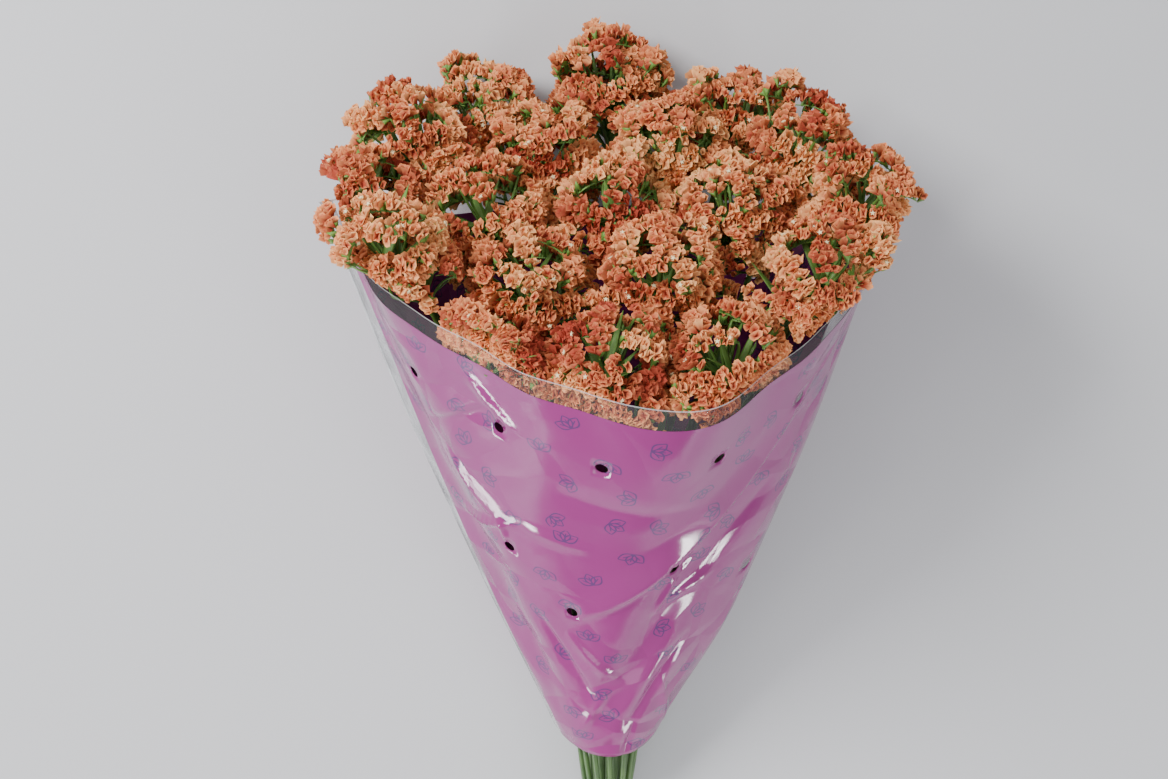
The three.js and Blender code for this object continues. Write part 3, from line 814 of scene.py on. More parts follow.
@dataclass
class FlowerHead:
    """One stem's flower head: combs of papery calyces over a flat dome, on green branches and bracts."""

    plan: BunchPlan
    place: StemPlace
    places: list[StemPlace]
    dome_radius: float = 41.0
    whorl: int = 5
    whorl_polar: float = 64.0 * DEG
    whorl_slant: float = 12.0 * DEG
    top_polar: float = 4.0 * DEG
    top_raise: float = 8.0
    top_turn: float = 22.0 * DEG
    turn_jitter: float = 0.03
    polar_jitter: float = 5.0 * DEG
    slant_jitter: float = 7.0 * DEG
    raise_jitter: float = 4.0
    bend: float = 20.0 * DEG
    arc: float = 1.6
    pitch: float = 17.0
    crown_depth: float = 17.0
    spine_clear: float = 12.0
    spine_gap: float = 5.0
    edge_clear: float = 1.4
    first_seed: int = 7000
    filling: FillingRule = FillingRule()
    corner: CornerRule = CornerRule()
    spray: SprayRule = SprayRule()
    floret: FloretRule = FloretRule()
    calyx: CalyxForm = CalyxForm()
    bract: BractForm = BractForm()
    corolla: CorollaForm = CorollaForm()
    branch: BranchForm = BranchForm()
    leaf: LeafForm = LeafForm()

    def __post_init__(self) -> None:
        """Works out the head's own directions, its hub and its fork, and its neighbours' planes."""
        self.out = self.plan.direction(self.place)
        self.level = square_to(SIDE, self.out)
        self.upward = np.cross(self.level, self.out)
        self.planes = self.plan.planes(self.place, self.places)
        self.sleeve = self.plan.sleeve
        self.crown = self.place.reach - self.crown_depth
        self.hub = self.out * (self.place.reach - self.plan.hub_below)
        fork_along = np.array([self.plan.fork_along(self.place)])
        self.fork = self.plan.stem_points(self.place, fork_along)[0]
        self.random = np.random.default_rng(self.first_seed + self.place.number)

    def facing(self, turn: float) -> Array:
        """Gives the direction square to the head's axis at a turn round it."""
        return math.cos(turn) * self.level + math.sin(turn) * self.upward

    def facings(self, turns: Array) -> Array:
        """Gives the directions square to the head's axis at many turns round it."""
        return np.cos(turns)[:, None] * self.level + np.sin(turns)[:, None] * self.upward

    def turn_of(self, shares: float) -> float:
        """Gives the turn at a number of shares of the whorl."""
        first = float(draw(self.place.number, Chance.WHORL_TURN)) * 2 * math.pi
        return first - shares * 2 * math.pi / self.whorl

    def main_combs(self) -> list[CombPlace]:
        """Lists the six large combs, where the solids have theirs: a whorl and one on top.

        Returns:
            The large combs.
        """
        number = self.place.number
        sense = -1.0 if draw(number, Chance.SENSE) < 0.5 else 1.0
        found: list[CombPlace] = []
        for n in range(self.whorl + 1):
            key = number * 10 + n
            on_top = n == self.whorl
            between = sense * self.top_turn * self.whorl / (2 * math.pi) if on_top else 0.0
            turn = self.turn_of(n - between + self.turn_jitter * float(sway(key, Chance.COMB_TURN)))
            aside = self.whorl_polar + self.polar_jitter * float(sway(key, Chance.COMB_POLAR))
            polar = self.top_polar if on_top else aside
            slant = self.whorl_slant + self.slant_jitter * float(sway(key, Chance.COMB_SLANT))
            lowered = self.top_raise + self.raise_jitter * float(draw(key, Chance.COMB_HEIGHT))
            centre = self.crown - self.dome_radius - (0 if on_top else lowered)
            outward = self.facing(turn)
            normal = self.out * math.cos(polar) + outward * math.sin(polar)
            down = outward * math.cos(polar) - self.out * math.sin(polar)
            heading = self.facing(turn + math.pi / 2) * sense * math.cos(slant) + down * math.sin(slant)
            middle = self.out * centre + normal * self.dome_radius
            found.append(CombPlace(key, middle, heading, normal, 1.0, 3 if on_top else 4))
        return found

    def filling_combs(self, main: list[CombPlace]) -> list[CombPlace]:
        """Lists the smaller combs between the main ones, each where the dome is barest so far.

        The dome's directions are a sunflower spiral. How bare one is, is how far it is from the
        nearest comb, counted for more where it faces up.

        Args:
            main: The main combs.

        Returns:
            The smaller combs.
        """
        rng, rule = self.random, self.filling
        step = (np.arange(rule.directions) + 0.5) / rule.directions
        top, bottom = math.cos(rule.span[0]), math.cos(rule.span[1])
        height = top + (bottom - top) * step
        turn = rng.uniform(0, 2 * math.pi) + np.arange(rule.directions) * GOLDEN_TURN
        side = np.sqrt(1 - height * height)
        normals = height[:, None] * self.out + side[:, None] * self.facings(turn)
        ends = np.array([-rule.taken_ends, 0.0, rule.taken_ends]) * self.bend
        taken = np.concatenate([self.spine(comb, ends)[0] for comb in main])
        taken = unit(taken - self.out * (self.crown - self.dome_radius - rule.taken_drop))
        bare = (1 - normals @ taken.T).min(1)
        found: list[CombPlace] = []
        for n in range(rule.count):
            pick = int((bare * (1 + rule.upward * normals[:, 2])).argmax())
            normal, aside = normals[pick], float(side[pick])
            bare = np.minimum(bare, 1 - normals @ normal)
            radius = self.dome_radius + rng.uniform(*rule.radius) + rule.side_radius * aside**2
            middle = self.out * (self.crown - self.dome_radius - rule.side_drop * aside) + normal * radius
            loose = rule.loose * rng.normal(size=3)
            facing = unit(rule.toward_normal * normal + rule.toward_out * self.out + loose)
            heading = square_to(rng.normal(size=3), facing)
            key = self.place.number * 100 + n
            spread, low = rng.uniform(*rule.spread), height[pick] < rule.low
            found.append(CombPlace(key, middle, heading, facing, spread, rule.rows, low))
        return found

    def corner_combs(self) -> list[CombPlace]:
        """Lists the deep combs in the corners that the head's dome leaves between its neighbours.

        A way out from the axis is free up to the nearest plane between two heads. The freest ways go
        first, each well turned from the others, and those that face up before those that face down.

        Returns:
            The deep combs.
        """
        rng, rule = self.random, self.corner
        level = self.out * (self.place.reach - self.plan.hub_below + rule.above_hub)
        outward = self.facings(np.arange(rule.directions) * 2 * math.pi / rule.directions)
        toward = outward @ self.planes.T
        reach = -(self.planes @ level)[None] / np.maximum(toward, rule.least_toward)
        free = np.where(toward > rule.least_toward, reach, np.inf)
        free = np.minimum(free.min(1), rule.widest)
        found: list[CombPlace] = []
        for n in range(rule.count):
            pick = int((free * (rule.upward + outward[:, 2])).argmax())
            middle = level + outward[pick] * (free[pick] * rule.share + rng.uniform(*rule.shift))
            free = np.where(outward @ outward[pick] > math.cos(rule.apart), 0.0, free)
            facing = unit(self.out + rule.outward * outward[pick] + rule.loose * rng.normal(size=3))
            heading = square_to(rng.normal(size=3), facing)
            key = self.place.number * 100 + 50 + n
            found.append(CombPlace(key, middle, heading, facing, rule.spread, rule.rows, True))
        return found

    def spray_combs(self) -> list[CombPlace]:
        """Lists the combs of this stem's sprays, which stand out of the bunch and face away from it.

        Returns:
            The sprays' combs.
        """
        rule = self.spray
        found: list[CombPlace] = []
        for n, (number, middle) in enumerate(SPRAYS):
            if number != self.place.number:
                continue
            away = unit(np.array(middle) - self.fork)
            for second, (aside, back, spread, rows) in enumerate(rule.combs):
                free = square_to(self.random.normal(size=3), away)
                across = np.cross(away, free)
                normal = unit(away + rule.turned * across)
                place = np.array(middle) - back * away + aside * across
                key = rule.first_key + 2 * n + second
                heading = square_to(free, normal)
                found.append(CombPlace(key, place, heading, normal, spread, rows, True))
        return found

    def lead(self, comb: CombPlace) -> float:
        """Gives the turn from a comb's middle to its end."""
        return self.arc * self.bend * comb.spread

    def spine(self, comb: CombPlace, angles: Array) -> tuple[Array, Array, Array]:
        """Gives an arched spine's points, tangents and normals: an arc of one radius, pressed clear.

        Args:
            comb: The comb.
            angles: How far each point is from the comb's middle, as a turn along its arc.

        Returns:
            The points, the tangents and the normals.
        """
        radius = self.pitch / self.bend
        tangent = np.cos(angles)[:, None] * comb.heading + np.sin(angles)[:, None] * comb.normal
        normal = np.cos(angles)[:, None] * comb.normal - np.sin(angles)[:, None] * comb.heading
        points = comb.middle + normal * radius - comb.normal * radius
        points = self.sleeve.press(points, self.spine_clear, self.planes, self.spine_gap)
        return points, tangent, normal

    def florets(self, comb: CombPlace) -> Florets:
        """Sets a comb's florets in leaning rows along its spine, in clumps, smaller towards its ends.

        Args:
            comb: The comb.

        Returns:
            Its florets, without those that have no room.
        """
        rng, rule = self.random, self.floret
        lead = self.lead(comb)
        each = max(rule.fewest, int(round(2 * lead / self.bend * self.pitch / rule.pitch)))
        widest = rule.wide_lean if comb.rows > 3 else rule.narrow_lean
        leans = np.linspace(-1, 1, comb.rows) * widest
        grid = np.meshgrid(np.arange(comb.rows), np.arange(each), indexing="ij")
        row, place = (part.ravel() for part in grid)
        count = row.size
        jitter = rng.uniform(-rule.place_jitter, rule.place_jitter, count)
        share = (place + 0.5 * (row % 2) + jitter) / (each - 0.5)
        points, tangent, normal = self.spine(comb, lead * (1 - 2 * share))
        wide = np.cross(tangent, normal)
        lean = leans[row] + rng.uniform(-rule.lean_degrees, rule.lean_degrees, count) * DEG
        tip = np.cos(lean)[:, None] * normal + np.sin(lean)[:, None] * wide
        forward = rng.uniform(*rule.tangent_jitter, count) + rule.fanned * (share - 0.5)
        axis = unit(tip - tangent * forward[:, None])
        wave = np.sin(share * each * rule.clump_turn + rule.clump_key * comb.key + rule.clump_row * row)
        clump = 1 + rule.clump * wave
        taper = 1 - rule.taper * np.abs(2 * share - 1) ** 3
        stalk = rule.stalk * clump * rng.uniform(*rule.stalk_range, count)
        length = rule.length * clump * taper * rng.uniform(*rule.length_range, count)
        base = points + axis * stalk[:, None]
        mouth = base + axis * length[:, None]
        moved = self.sleeve.press(mouth, rule.film_clear, self.planes, rule.plane_gap)
        reach = np.linalg.norm(moved - points, axis=1)
        keep = reach > rule.least_room * (stalk + length)
        axis = unit(moved - points)
        base = points + axis * np.minimum(stalk, reach * rule.least_stalk)[:, None]
        length = np.linalg.norm(moved - base, axis=1)
        size = rule.mouth * taper * rng.uniform(*rule.mouth_range, count)
        # The comb's tint: partly its own tone, partly painted shade and light across whole combs.
        comb_tint = rule.tint_middle + rule.tint_comb * float(sway(comb.key, Chance.COMB_TINT))
        tint = np.clip(comb_tint + rng.normal(0, rule.tint_floret, count), *rule.tint_range)
        return Florets(base, axis, tangent, length, size, tint).every(keep)

    def rings(
        self, florets: Florets, radii: Array, rises: Array, flat: float = 1.0, shift: float = 0.0
    ) -> Array:
        """Carries rings along each floret's axis, drawn out across the comb and turned a little.

        Args:
            florets: The florets.
            radii: Each ring point's distance from the axis, florets by rings by corners, in mm.
            rises: Each ring point's place along the axis, in mm.
            flat: How much narrower the rings are along the comb.
            shift: A turn added to every ring.

        Returns:
            The ring points, florets by rings by corners by 3.
        """
        corners = radii.shape[-1]
        first = square_to(florets.along, florets.axis)
        second = np.cross(florets.axis, first)
        loose = self.random.uniform(-0.5, 0.5, len(first))[:, None]
        first, second = (
            np.cos(loose) * first + np.sin(loose) * second,
            np.cos(loose) * second - np.sin(loose) * first,
        )
        turn = np.arange(corners) * 2 * math.pi / corners + shift
        return (
            florets.base[:, None, None]
            + rises[..., None] * florets.axis[:, None, None]
            + (flat * radii * np.cos(turn))[..., None] * first[:, None, None]
            + (radii * np.sin(turn))[..., None] * second[:, None, None]
        )

    def add_calyces(self, buffer: MeshBuffer, florets: Florets) -> None:
        """Adds each calyx: a pleated funnel, its ragged rim crinkled, with a hollow inside.

        A ring's radius is a share of the mouth and its height a share of the length. The rim's both
        swing with a zigzag from corner to corner and a draw.

        Args:
            buffer: The mesh that they go into.
            florets: The florets.
        """
        rng, form, count = self.random, self.calyx, len(florets.base)
        sides, levels = form.corners, len(form.rises)
        rises, radii, rough = (np.array(part)[None, :, None] for part in (form.rises, form.radii, form.rough))
        zigzag = np.where(np.arange(sides) % 2, 1.0, -1.0) * rng.uniform(*form.zigzag, (count, 1, 1))
        wave = form.wave_zigzag * zigzag + rng.normal(0, form.wave_loose, (count, levels, sides))
        lift = rng.normal(0, form.lift_loose, (count, levels, sides)) - form.lift_zigzag * zigzag
        radius = florets.mouth[:, None, None] * (radii + rough * wave)
        height = florets.length[:, None, None] * (rises + rough * lift)
        ring = self.rings(florets, radius, height, form.flat)
        ends = np.array(form.pole_rises)[None, :, None]
        poles = florets.base[:, None] + florets.axis[:, None] * (florets.length[:, None, None] * ends)
        points = np.concatenate([ring.reshape(count, -1, 3), poles], 1)
        points = self.sleeve.press(points, self.edge_clear)
        # Each point's ramp place: darker low down and in the hollow, partly as painted shade, and cream at
        # the rim, partly as painted light.
        shade = np.concatenate([np.repeat(form.shades, sides), form.pole_shades])
        shade = np.broadcast_to(shade, (count, shade.size))
        tint = np.broadcast_to(florets.tint[:, None], shade.shape)
        each = levels * sides + 2
        corner = np.arange(sides)
        after = (corner + 1) % sides
        walls = []
        for low in range(0, (levels - 1) * sides, sides):
            high = low + sides
            walls.append(np.stack([low + corner, low + after, high + after, high + corner], -1))
        base_fan = np.stack([np.full(sides, each - 2), after, corner], -1)
        inner = (levels - 1) * sides
        inner_fan = np.stack([np.full(sides, each - 1), inner + corner, inner + after], -1)
        start = (np.arange(count) * each)[:, None, None]
        buffer.add(
            points,
            np.stack([tint, shade], -1),
            np.concatenate(walls)[None] + start,
            np.concatenate([base_fan, inner_fan])[None] + start,
        )

    def add_bracts(self, buffer: MeshBuffer, florets: Florets) -> None:
        """Adds the green bracts that clasp every third calyx: a four-sided cup with two pointed tips.

        Args:
            buffer: The mesh that they go into.
            florets: The florets.
        """
        form = self.bract
        florets = florets.every(np.arange(len(florets.base)) % form.every == 0)
        tipped = np.array(form.tipped)
        foot_rise, clasp_rise, lip_rise = form.rises
        foot, clasp, lip = form.radii
        rises = np.stack([np.full(4, foot_rise), np.full(4, clasp_rise), lip_rise + form.tip_rise * tipped])
        radii = np.stack([np.full(4, foot), np.full(4, clasp), lip + form.tip_radius * tipped])
        sized = self.random.uniform(*form.size_range, (len(florets.base), 1, 1))
        radius = florets.mouth[:, None, None] * radii * sized
        height = florets.length[:, None, None] * rises
        rings = self.rings(florets, radius, height, form.flat, form.turned)
        shade = 0.45 + 0.5 * rises
        maps = np.stack(np.broadcast_arrays(florets.tint[:, None, None], shade[None]), -1)
        buffer.add_tube(self.sleeve.press(rings, self.edge_clear)[:, :, ::-1], maps[:, :, ::-1])

    def add_corollas(self, buffer: MeshBuffer, florets: Florets) -> None:
        """Adds the few small open flowers: five pointed cream petals standing in a calyx's mouth.

        Args:
            buffer: The mesh that they go into.
            florets: The florets.
        """
        form = self.corolla
        florets = florets.every(self.random.uniform(size=len(florets.base)) < form.share)
        if not len(florets.base):
            return
        notched = form.notch * np.where(np.arange(form.points) % 2, 1.0, 0.0)
        outer, inner = form.radii
        radii = np.stack([np.full(form.points, form.throat), outer - notched, inner - notched])[None]
        rises = np.repeat(np.array(form.rises)[:, None], form.points, 1)[None]
        rises = rises * florets.length[:, None, None]
        rings = self.rings(florets, np.broadcast_to(radii, rises.shape), rises)
        maps = np.stack([np.full(rises.shape, form.tint), np.full(rises.shape, form.shade)], -1)
        buffer.add_tube(self.sleeve.press(rings, self.edge_clear)[:, :, ::-1], maps)

    def tube_rings(self, points: Array, radius: Array, sides: int = 6, flat: float = 0.62) -> Array:
        """Carries an oval section along a path: its corners turn clockwise seen along the path.

        Args:
            points: The path.
            radius: The section's half width at each point.
            sides: How many corners it has.
            flat: Its thickness as a share of its width.

        Returns:
            The rings, points by corners by 3.
        """
        tangent = unit(np.gradient(points, axis=0))
        wide = square_to(np.cross(tangent, self.out + 0.01 * self.level), tangent)
        deep = np.cross(wide, tangent)
        turn = -np.arange(sides) * 2 * math.pi / sides
        broad, thin = np.cos(turn)[None, :, None], flat * np.sin(turn)[None, :, None]
        return points[:, None] + radius[:, None, None] * (broad * wide[:, None] + thin * deep[:, None])

    def add_branches(self, buffer: MeshBuffer, combs: list[CombPlace]) -> None:
        """Adds the trunk, a curved branch from the hub or the fork to each comb, and its rachis.

        Args:
            buffer: The mesh that they go into.
            combs: The head's combs.
        """
        form, hub, fork = self.branch, self.hub, self.fork
        count = form.trunk_sections
        t = np.linspace(0, 1, count)[:, None]
        trunk = fork * (1 - t) + (hub + self.out * form.past_hub) * t
        rings = self.tube_rings(trunk, np.linspace(*form.trunk, count), form.trunk_sides)
        buffer.add_tube(rings[None], np.full((1, count, form.trunk_sides, 2), form.trunk_shade))
        each = form.sections
        thinning = [np.linspace(form.root, form.comb, each), np.linspace(form.comb, form.tip, each)]
        radius = np.concatenate(thinning)
        shade = np.linspace(*form.shades, 2 * each)[:, None]
        maps = np.stack(np.broadcast_arrays(np.full((2 * each, form.sides), form.tint), shade), -1)
        s = np.linspace(0, form.reaches, each)[:, None]
        for comb in combs:
            lead = self.lead(comb)
            spine, tangent, _ = self.spine(comb, np.linspace(lead, -lead, each))
            bend = form.hub_share * hub + form.spine_share * spine[0] - form.lead_back * tangent[0]
            root = fork if comb.from_fork else hub
            curve = root * (1 - s) ** 2 + 2 * bend * s * (1 - s) + spine[0] * s**2
            path = self.sleeve.press(np.concatenate([curve, spine]), form.film_clear)
            buffer.add_tube(self.tube_rings(path, radius, form.sides)[None], maps[None])

    def add_leaves(self, buffer: MeshBuffer) -> None:
        """Adds the leaves at the fork: blades curling outwards, widest a third of the way up.

        Args:
            buffer: The mesh that they go into.
        """
        form, sleeve = self.leaf, self.sleeve
        t = np.linspace(0, 1, form.sections)
        up = t[:, None]
        outline = np.sin(math.pi * (form.root + (1 - form.root) * t) ** form.widest)
        shade = np.linspace(*form.shades, form.sections)[:, None]
        maps = np.stack(np.broadcast_arrays(np.full((form.sections, form.sides), form.tint), shade), -1)
        for n in range(form.count):
            key = self.place.number * 30 + n
            start = self.fork + (self.hub - self.fork) * (form.first + form.step * n)
            outward = self.facing(form.turn * n + form.turn_draw * float(draw(key, Chance.LEAF_TURN)))
            reach = form.reach[0] + form.reach[1] * float(draw(key, Chance.LEAF_REACH))
            spread = form.spread[0] + form.spread[1] * float(draw(key, Chance.LEAF_SPREAD))
            line = start + reach * (form.rise * up * self.out + (spread * up**form.curl) * outward)
            line = sleeve.press(line, form.film_clear, self.planes, form.plane_gap)
            widest = form.half[0] + form.half[1] * float(draw(key, Chance.LEAF_WIDTH))
            rings = self.tube_rings(line, widest * outline + form.tip, form.sides, form.flat)
            buffer.add_tube(sleeve.press(rings, form.edge_clear)[None], maps[None])

    def build(self) -> tuple[bpy.types.Object, bpy.types.Object]:
        """Makes the head's calyces and its green parts.

        Returns:
            The calyces and the green parts.
        """
        papery, green = MeshBuffer(), MeshBuffer()
        combs = self.main_combs()
        combs += self.filling_combs(combs) + self.corner_combs() + self.spray_combs()
        for comb in combs:
            florets = self.florets(comb)
            if len(florets.base):
                self.add_calyces(papery, florets)
                self.add_corollas(papery, florets)
                self.add_bracts(green, florets)
        self.add_branches(green, combs)
        self.add_leaves(green)
        label = self.place.label
        return papery.build(f"calyces_{label}", smooth=False), green.build(f"head_greens_{label}")


@dataclass
class WingedStem:
    """A statice stem: a thin core with two ragged wings that come and go along it."""

    plan: BunchPlan
    place: StemPlace
    core: float = 1.8
    packed: float = 2.6
    wing: float = 3.0
    wing_turn: float = 30.0 * DEG
    wing_power: int = 7
    winged: Span = (60.0, 260.0)
    ragged: Span = (0.62, 0.38)
    ragged_pitch: float = 17.0
    nibbled: Span = (0.85, 0.15)
    nibbled_pitch: float = 5.3
    tail: float = -62.0
    past_fork: float = 4.0
    lowest: float = 0.4
    mapped_length: float = 700.0
    sides: int = 14
    rings: int = 56

    def build(self) -> bpy.types.Object:
        """Makes the stem: a closed tube whose radius is the core plus a bell at each wing.

        Returns:
            The stem.
        """
        plan, place = self.plan, self.place
        along = np.linspace(self.tail, plan.fork_along(place) + self.past_fork, self.rings)
        points = plan.stem_points(place, along)
        tangent = unit(np.gradient(points, axis=0))
        wide = square_to(SIDE, tangent)
        deep = np.cross(wide, tangent)
        turn = -np.arange(self.sides) * 2 * math.pi / self.sides
        winged = ease(along, *self.winged)
        wound = winged * math.pi * float(draw(place.number, Chance.WING_TURN))
        start = plan.twist + self.wing_turn + wound
        lobes = np.abs(np.cos(turn[None] - start[:, None])) ** self.wing_power
        phase = 6.28 * float(draw(place.number, Chance.WING_PHASE))
        ragged = self.ragged[0] + self.ragged[1] * np.sin(along / self.ragged_pitch + phase)
        ragged *= self.nibbled[0] + self.nibbled[1] * np.sin(along / self.nibbled_pitch)
        radius = self.packed * (1 - winged) + self.core * winged
        reach = radius[:, None] + (winged * ragged * self.wing)[:, None] * lobes
        broad, thin = np.cos(turn)[None, :, None], np.sin(turn)[None, :, None]
        rings = points[:, None] + reach[..., None] * (broad * wide[:, None] + thin * deep[:, None])
        rings[..., 2] = np.maximum(rings[..., 2], self.lowest)
        share = (along[:, None] - self.tail) / self.mapped_length
        maps = np.stack(np.broadcast_arrays(lobes * winged[:, None], share), -1)
        buffer = MeshBuffer()
        buffer.add_tube(rings[None], maps[None])
        return buffer.build(f"stem_dressed_{place.label}")


@dataclass
class FilmSleeve:
    """The film sleeve: both sheets as one tapered tube with air holes, welds, folds and creases."""

    shape: SleeveShape
    front_columns: int = 236
    back_columns: int = 148
    rows: int = 120
    film: float = 0.35
    ripple: float = 1.1
    ripple_pitch: Span = (13.0, 41.0)
    ripple_from: float = 560.0
    ripple_fade: Span = (120.0, 145.0)
    hole_radius: float = 5.4
    hole_frame: float = 1.3
    hole_cells: int = 2
    # Each row of holes: how far it is below the top, its holes, their spacing, and its shift across.
    hole_rows: tuple[tuple[float, int, float, float], ...] = (
        (88, 6, 96, 20),
        (240, 3, 155, 44),
        (298, 2, 176, 41),
    )

    def flat_grid(self) -> tuple[Array, Array, Array]:
        """Lays the grid out: row by row up the sheets and right round both of them.

        Returns:
            The place across the sheet and above the apex, and 1 on the front sheet or -1 on the back.
        """
        shape, quarter = self.shape, math.pi / 2
        turn = np.concatenate([
            np.linspace(-quarter, quarter, self.front_columns, endpoint=False),
            np.linspace(quarter, 3 * quarter, self.back_columns, endpoint=False),
        ])
        front = np.where(turn <= quarter, 1.0, -1.0)
        angle = np.where(front > 0, turn, math.pi - turn) / quarter * shape.sheet_half
        up = shape.to_hem + np.linspace(0, 1, self.rows + 1)[:, None] * shape.height
        return up * np.tan(angle)[None], np.broadcast_to(up, (self.rows + 1, turn.size)).copy(), front

    def cut_holes(self, across: Array, up: Array, front: Array) -> Array:
        """Opens the air holes: the block of cells at each goes, and the block's edge is drawn round.

        A point of the edge moves to the hole's circle at the angle of its place in the block.

        Args:
            across: The places across the sheets, changed here.
            up: The places above the apex, changed here.
            front: 1 on the front sheet or -1 on the back.

        Returns:
            Which cells are removed.
        """
        shape, half = self.shape, self.hole_cells
        removed = np.zeros((self.rows, front.size), bool)
        for below, count, spacing, offset in self.hole_rows:
            row = int(round((1 - below / shape.height) * self.rows))
            height = shape.to_hem + shape.height - below
            for n in range(2 * count):
                sense = 1.0 if n < count else -1.0
                aside = (n % count - (count - 1) / 2) * spacing + offset
                away = np.where(front == sense, np.abs(across[row] - aside), np.inf)
                column = int(away.argmin())
                cell = abs(across[row, column + 1] - across[row, column])
                reach = math.ceil(self.hole_frame * self.hole_radius / cell)
                dr, dc = np.mgrid[-half : half + 1, -reach : reach + 1]
                rows, columns = row + dr, (column + dc) % front.size
                turned = np.arctan2(dr / half, sense * dc / reach)
                edge = (np.abs(dr) == half) | (np.abs(dc) == reach)
                across[rows[edge], columns[edge]] = aside + self.hole_radius * np.cos(turned[edge])
                up[rows[edge], columns[edge]] = height + self.hole_radius * np.sin(turned[edge])
                removed[rows[:-1, :-1], columns[:-1, :-1]] = True
        return removed

    def build(self) -> bpy.types.Object:
        """Makes the film: a flat grid with its air holes, rolled up into the lying cone.

        A place on a flat sheet rolls up by its distance and angle from the apex.

        Returns:
            The film.
        """
        shape = self.shape
        across, up, front = self.flat_grid()
        removed = self.cut_holes(across, up, front)
        width = front.size
        distance, angle = np.hypot(across, up), np.arctan2(across, up)
        turn = np.where(front > 0, 1.0, -1.0) * angle / shape.sheet_half * (math.pi / 2)
        azimuth = shape.wrap(np.where(front > 0, turn, math.pi + turn) + shape.seam_roll)
        wide, tall = self.ripple_pitch
        top = shape.to_hem + shape.height
        ripple = self.ripple * np.sin(across / wide + up / tall) * ease(up, self.ripple_from, top)
        ripple = ripple * (1 - ease(np.abs(azimuth) / DEG, *self.ripple_fade))
        points = shape.film_point(distance, azimuth, ripple)
        row, column = np.meshgrid(np.arange(self.rows), np.arange(width), indexing="ij")
        following = (column + 1) % width
        here, above = row * width, (row + 1) * width
        faces = np.stack([here + column, here + following, above + following, above + column], -1)
        sheet = np.where(front > 0, 0.0, BACK_SHEET)
        maps = np.stack([across * MM, (up - shape.to_hem) * MM + sheet], -1)
        buffer = MeshBuffer()
        buffer.add(points, maps, faces[~removed])
        made = buffer.build("film_sleeve")
        self.drop_loose(made)
        self.finish(made)
        return made

    def drop_loose(self, made: bpy.types.Object) -> None:
        """Deletes the points that no face uses.

        Args:
            made: The film.
        """
        mesh = bmesh.new()
        mesh.from_mesh(made.data)
        bmesh.ops.delete(mesh, geom=[v for v in mesh.verts if not v.link_faces], context="VERTS")
        mesh.to_mesh(made.data)
        mesh.free()

    def finish(self, made: bpy.types.Object) -> None:
        """Gives the film its thickness, inwards from its outer face.

        Args:
            made: The film.
        """
        thick = made.modifiers.new("thickness", "SOLIDIFY")
        thick.thickness = self.film * MM
        thick.offset = -1.0


@dataclass
class TieBand:
    """Two turns of a rubber band round the stems, below the sleeve."""

    plan: BunchPlan
    places: list[StemPlace]
    at: float = 8.0
    thick: float = 1.3
    wide: float = 1.7
    turns: Span = (-1.35, 1.25)
    stem_reach: float = 2.85
    gap: float = 0.3
    lowest: float = 0.3
    steps: int = 96
    sides: int = 10

    def build(self) -> bpy.types.Object:
        """Makes the band: oval sections carried along the loop that just clears the stems.

        Returns:
            The band.
        """
        centres = np.concatenate([self.plan.stem_points(p, np.array([self.at])) for p in self.places])
        middle = self.plan.middle_line(np.array([self.at]))[0]
        turn = -np.arange(self.steps) * 2 * math.pi / self.steps
        facing = np.stack([np.cos(turn), np.zeros_like(turn), np.sin(turn)], -1)
        support = ((centres - middle) @ facing.T).max(0) + self.stem_reach + self.gap
        slope = (np.roll(support, -1) - np.roll(support, 1)) / (2 * (turn[1] - turn[0]))
        side = np.stack([-np.sin(turn), np.zeros_like(turn), np.cos(turn)], -1)
        inner = middle + facing * support[:, None] + side * slope[:, None]
        buffer, sides = MeshBuffer(), self.sides
        around = np.arange(sides) * 2 * math.pi / sides
        outward = np.cos(around)[None, :, None] * facing[:, None]
        endways = self.wide * np.sin(around)[None, :, None] * np.array([0, 1.0, 0])
        row, corner = np.meshgrid(np.arange(self.steps), np.arange(sides), indexing="ij")
        here, onward, after = row * sides, (row + 1) % self.steps * sides, (corner + 1) % sides
        faces = np.stack([here + corner, here + after, onward + after, onward + corner], -1)
        round_share = np.linspace(0, 1, self.steps)[:, None]
        half = self.thick / 2
        for n, y in enumerate(self.turns):
            path = inner + facing * half + np.array([0.0, y, 0.0])
            ring = path[:, None] + half * (outward + endways)
            ring[..., 2] = np.maximum(ring[..., 2], self.lowest)
            maps = np.stack(np.broadcast_arrays(round_share, np.full((1, sides), float(n))), -1)
            buffer.add(ring, maps, faces.reshape(-1, 4)[:, ::-1])
        return buffer.build("tie_band_dressed")


class Ground(Enum):
    """Which map a finish reads."""

    OBJECT = "Object"
    PIECE = "UV"


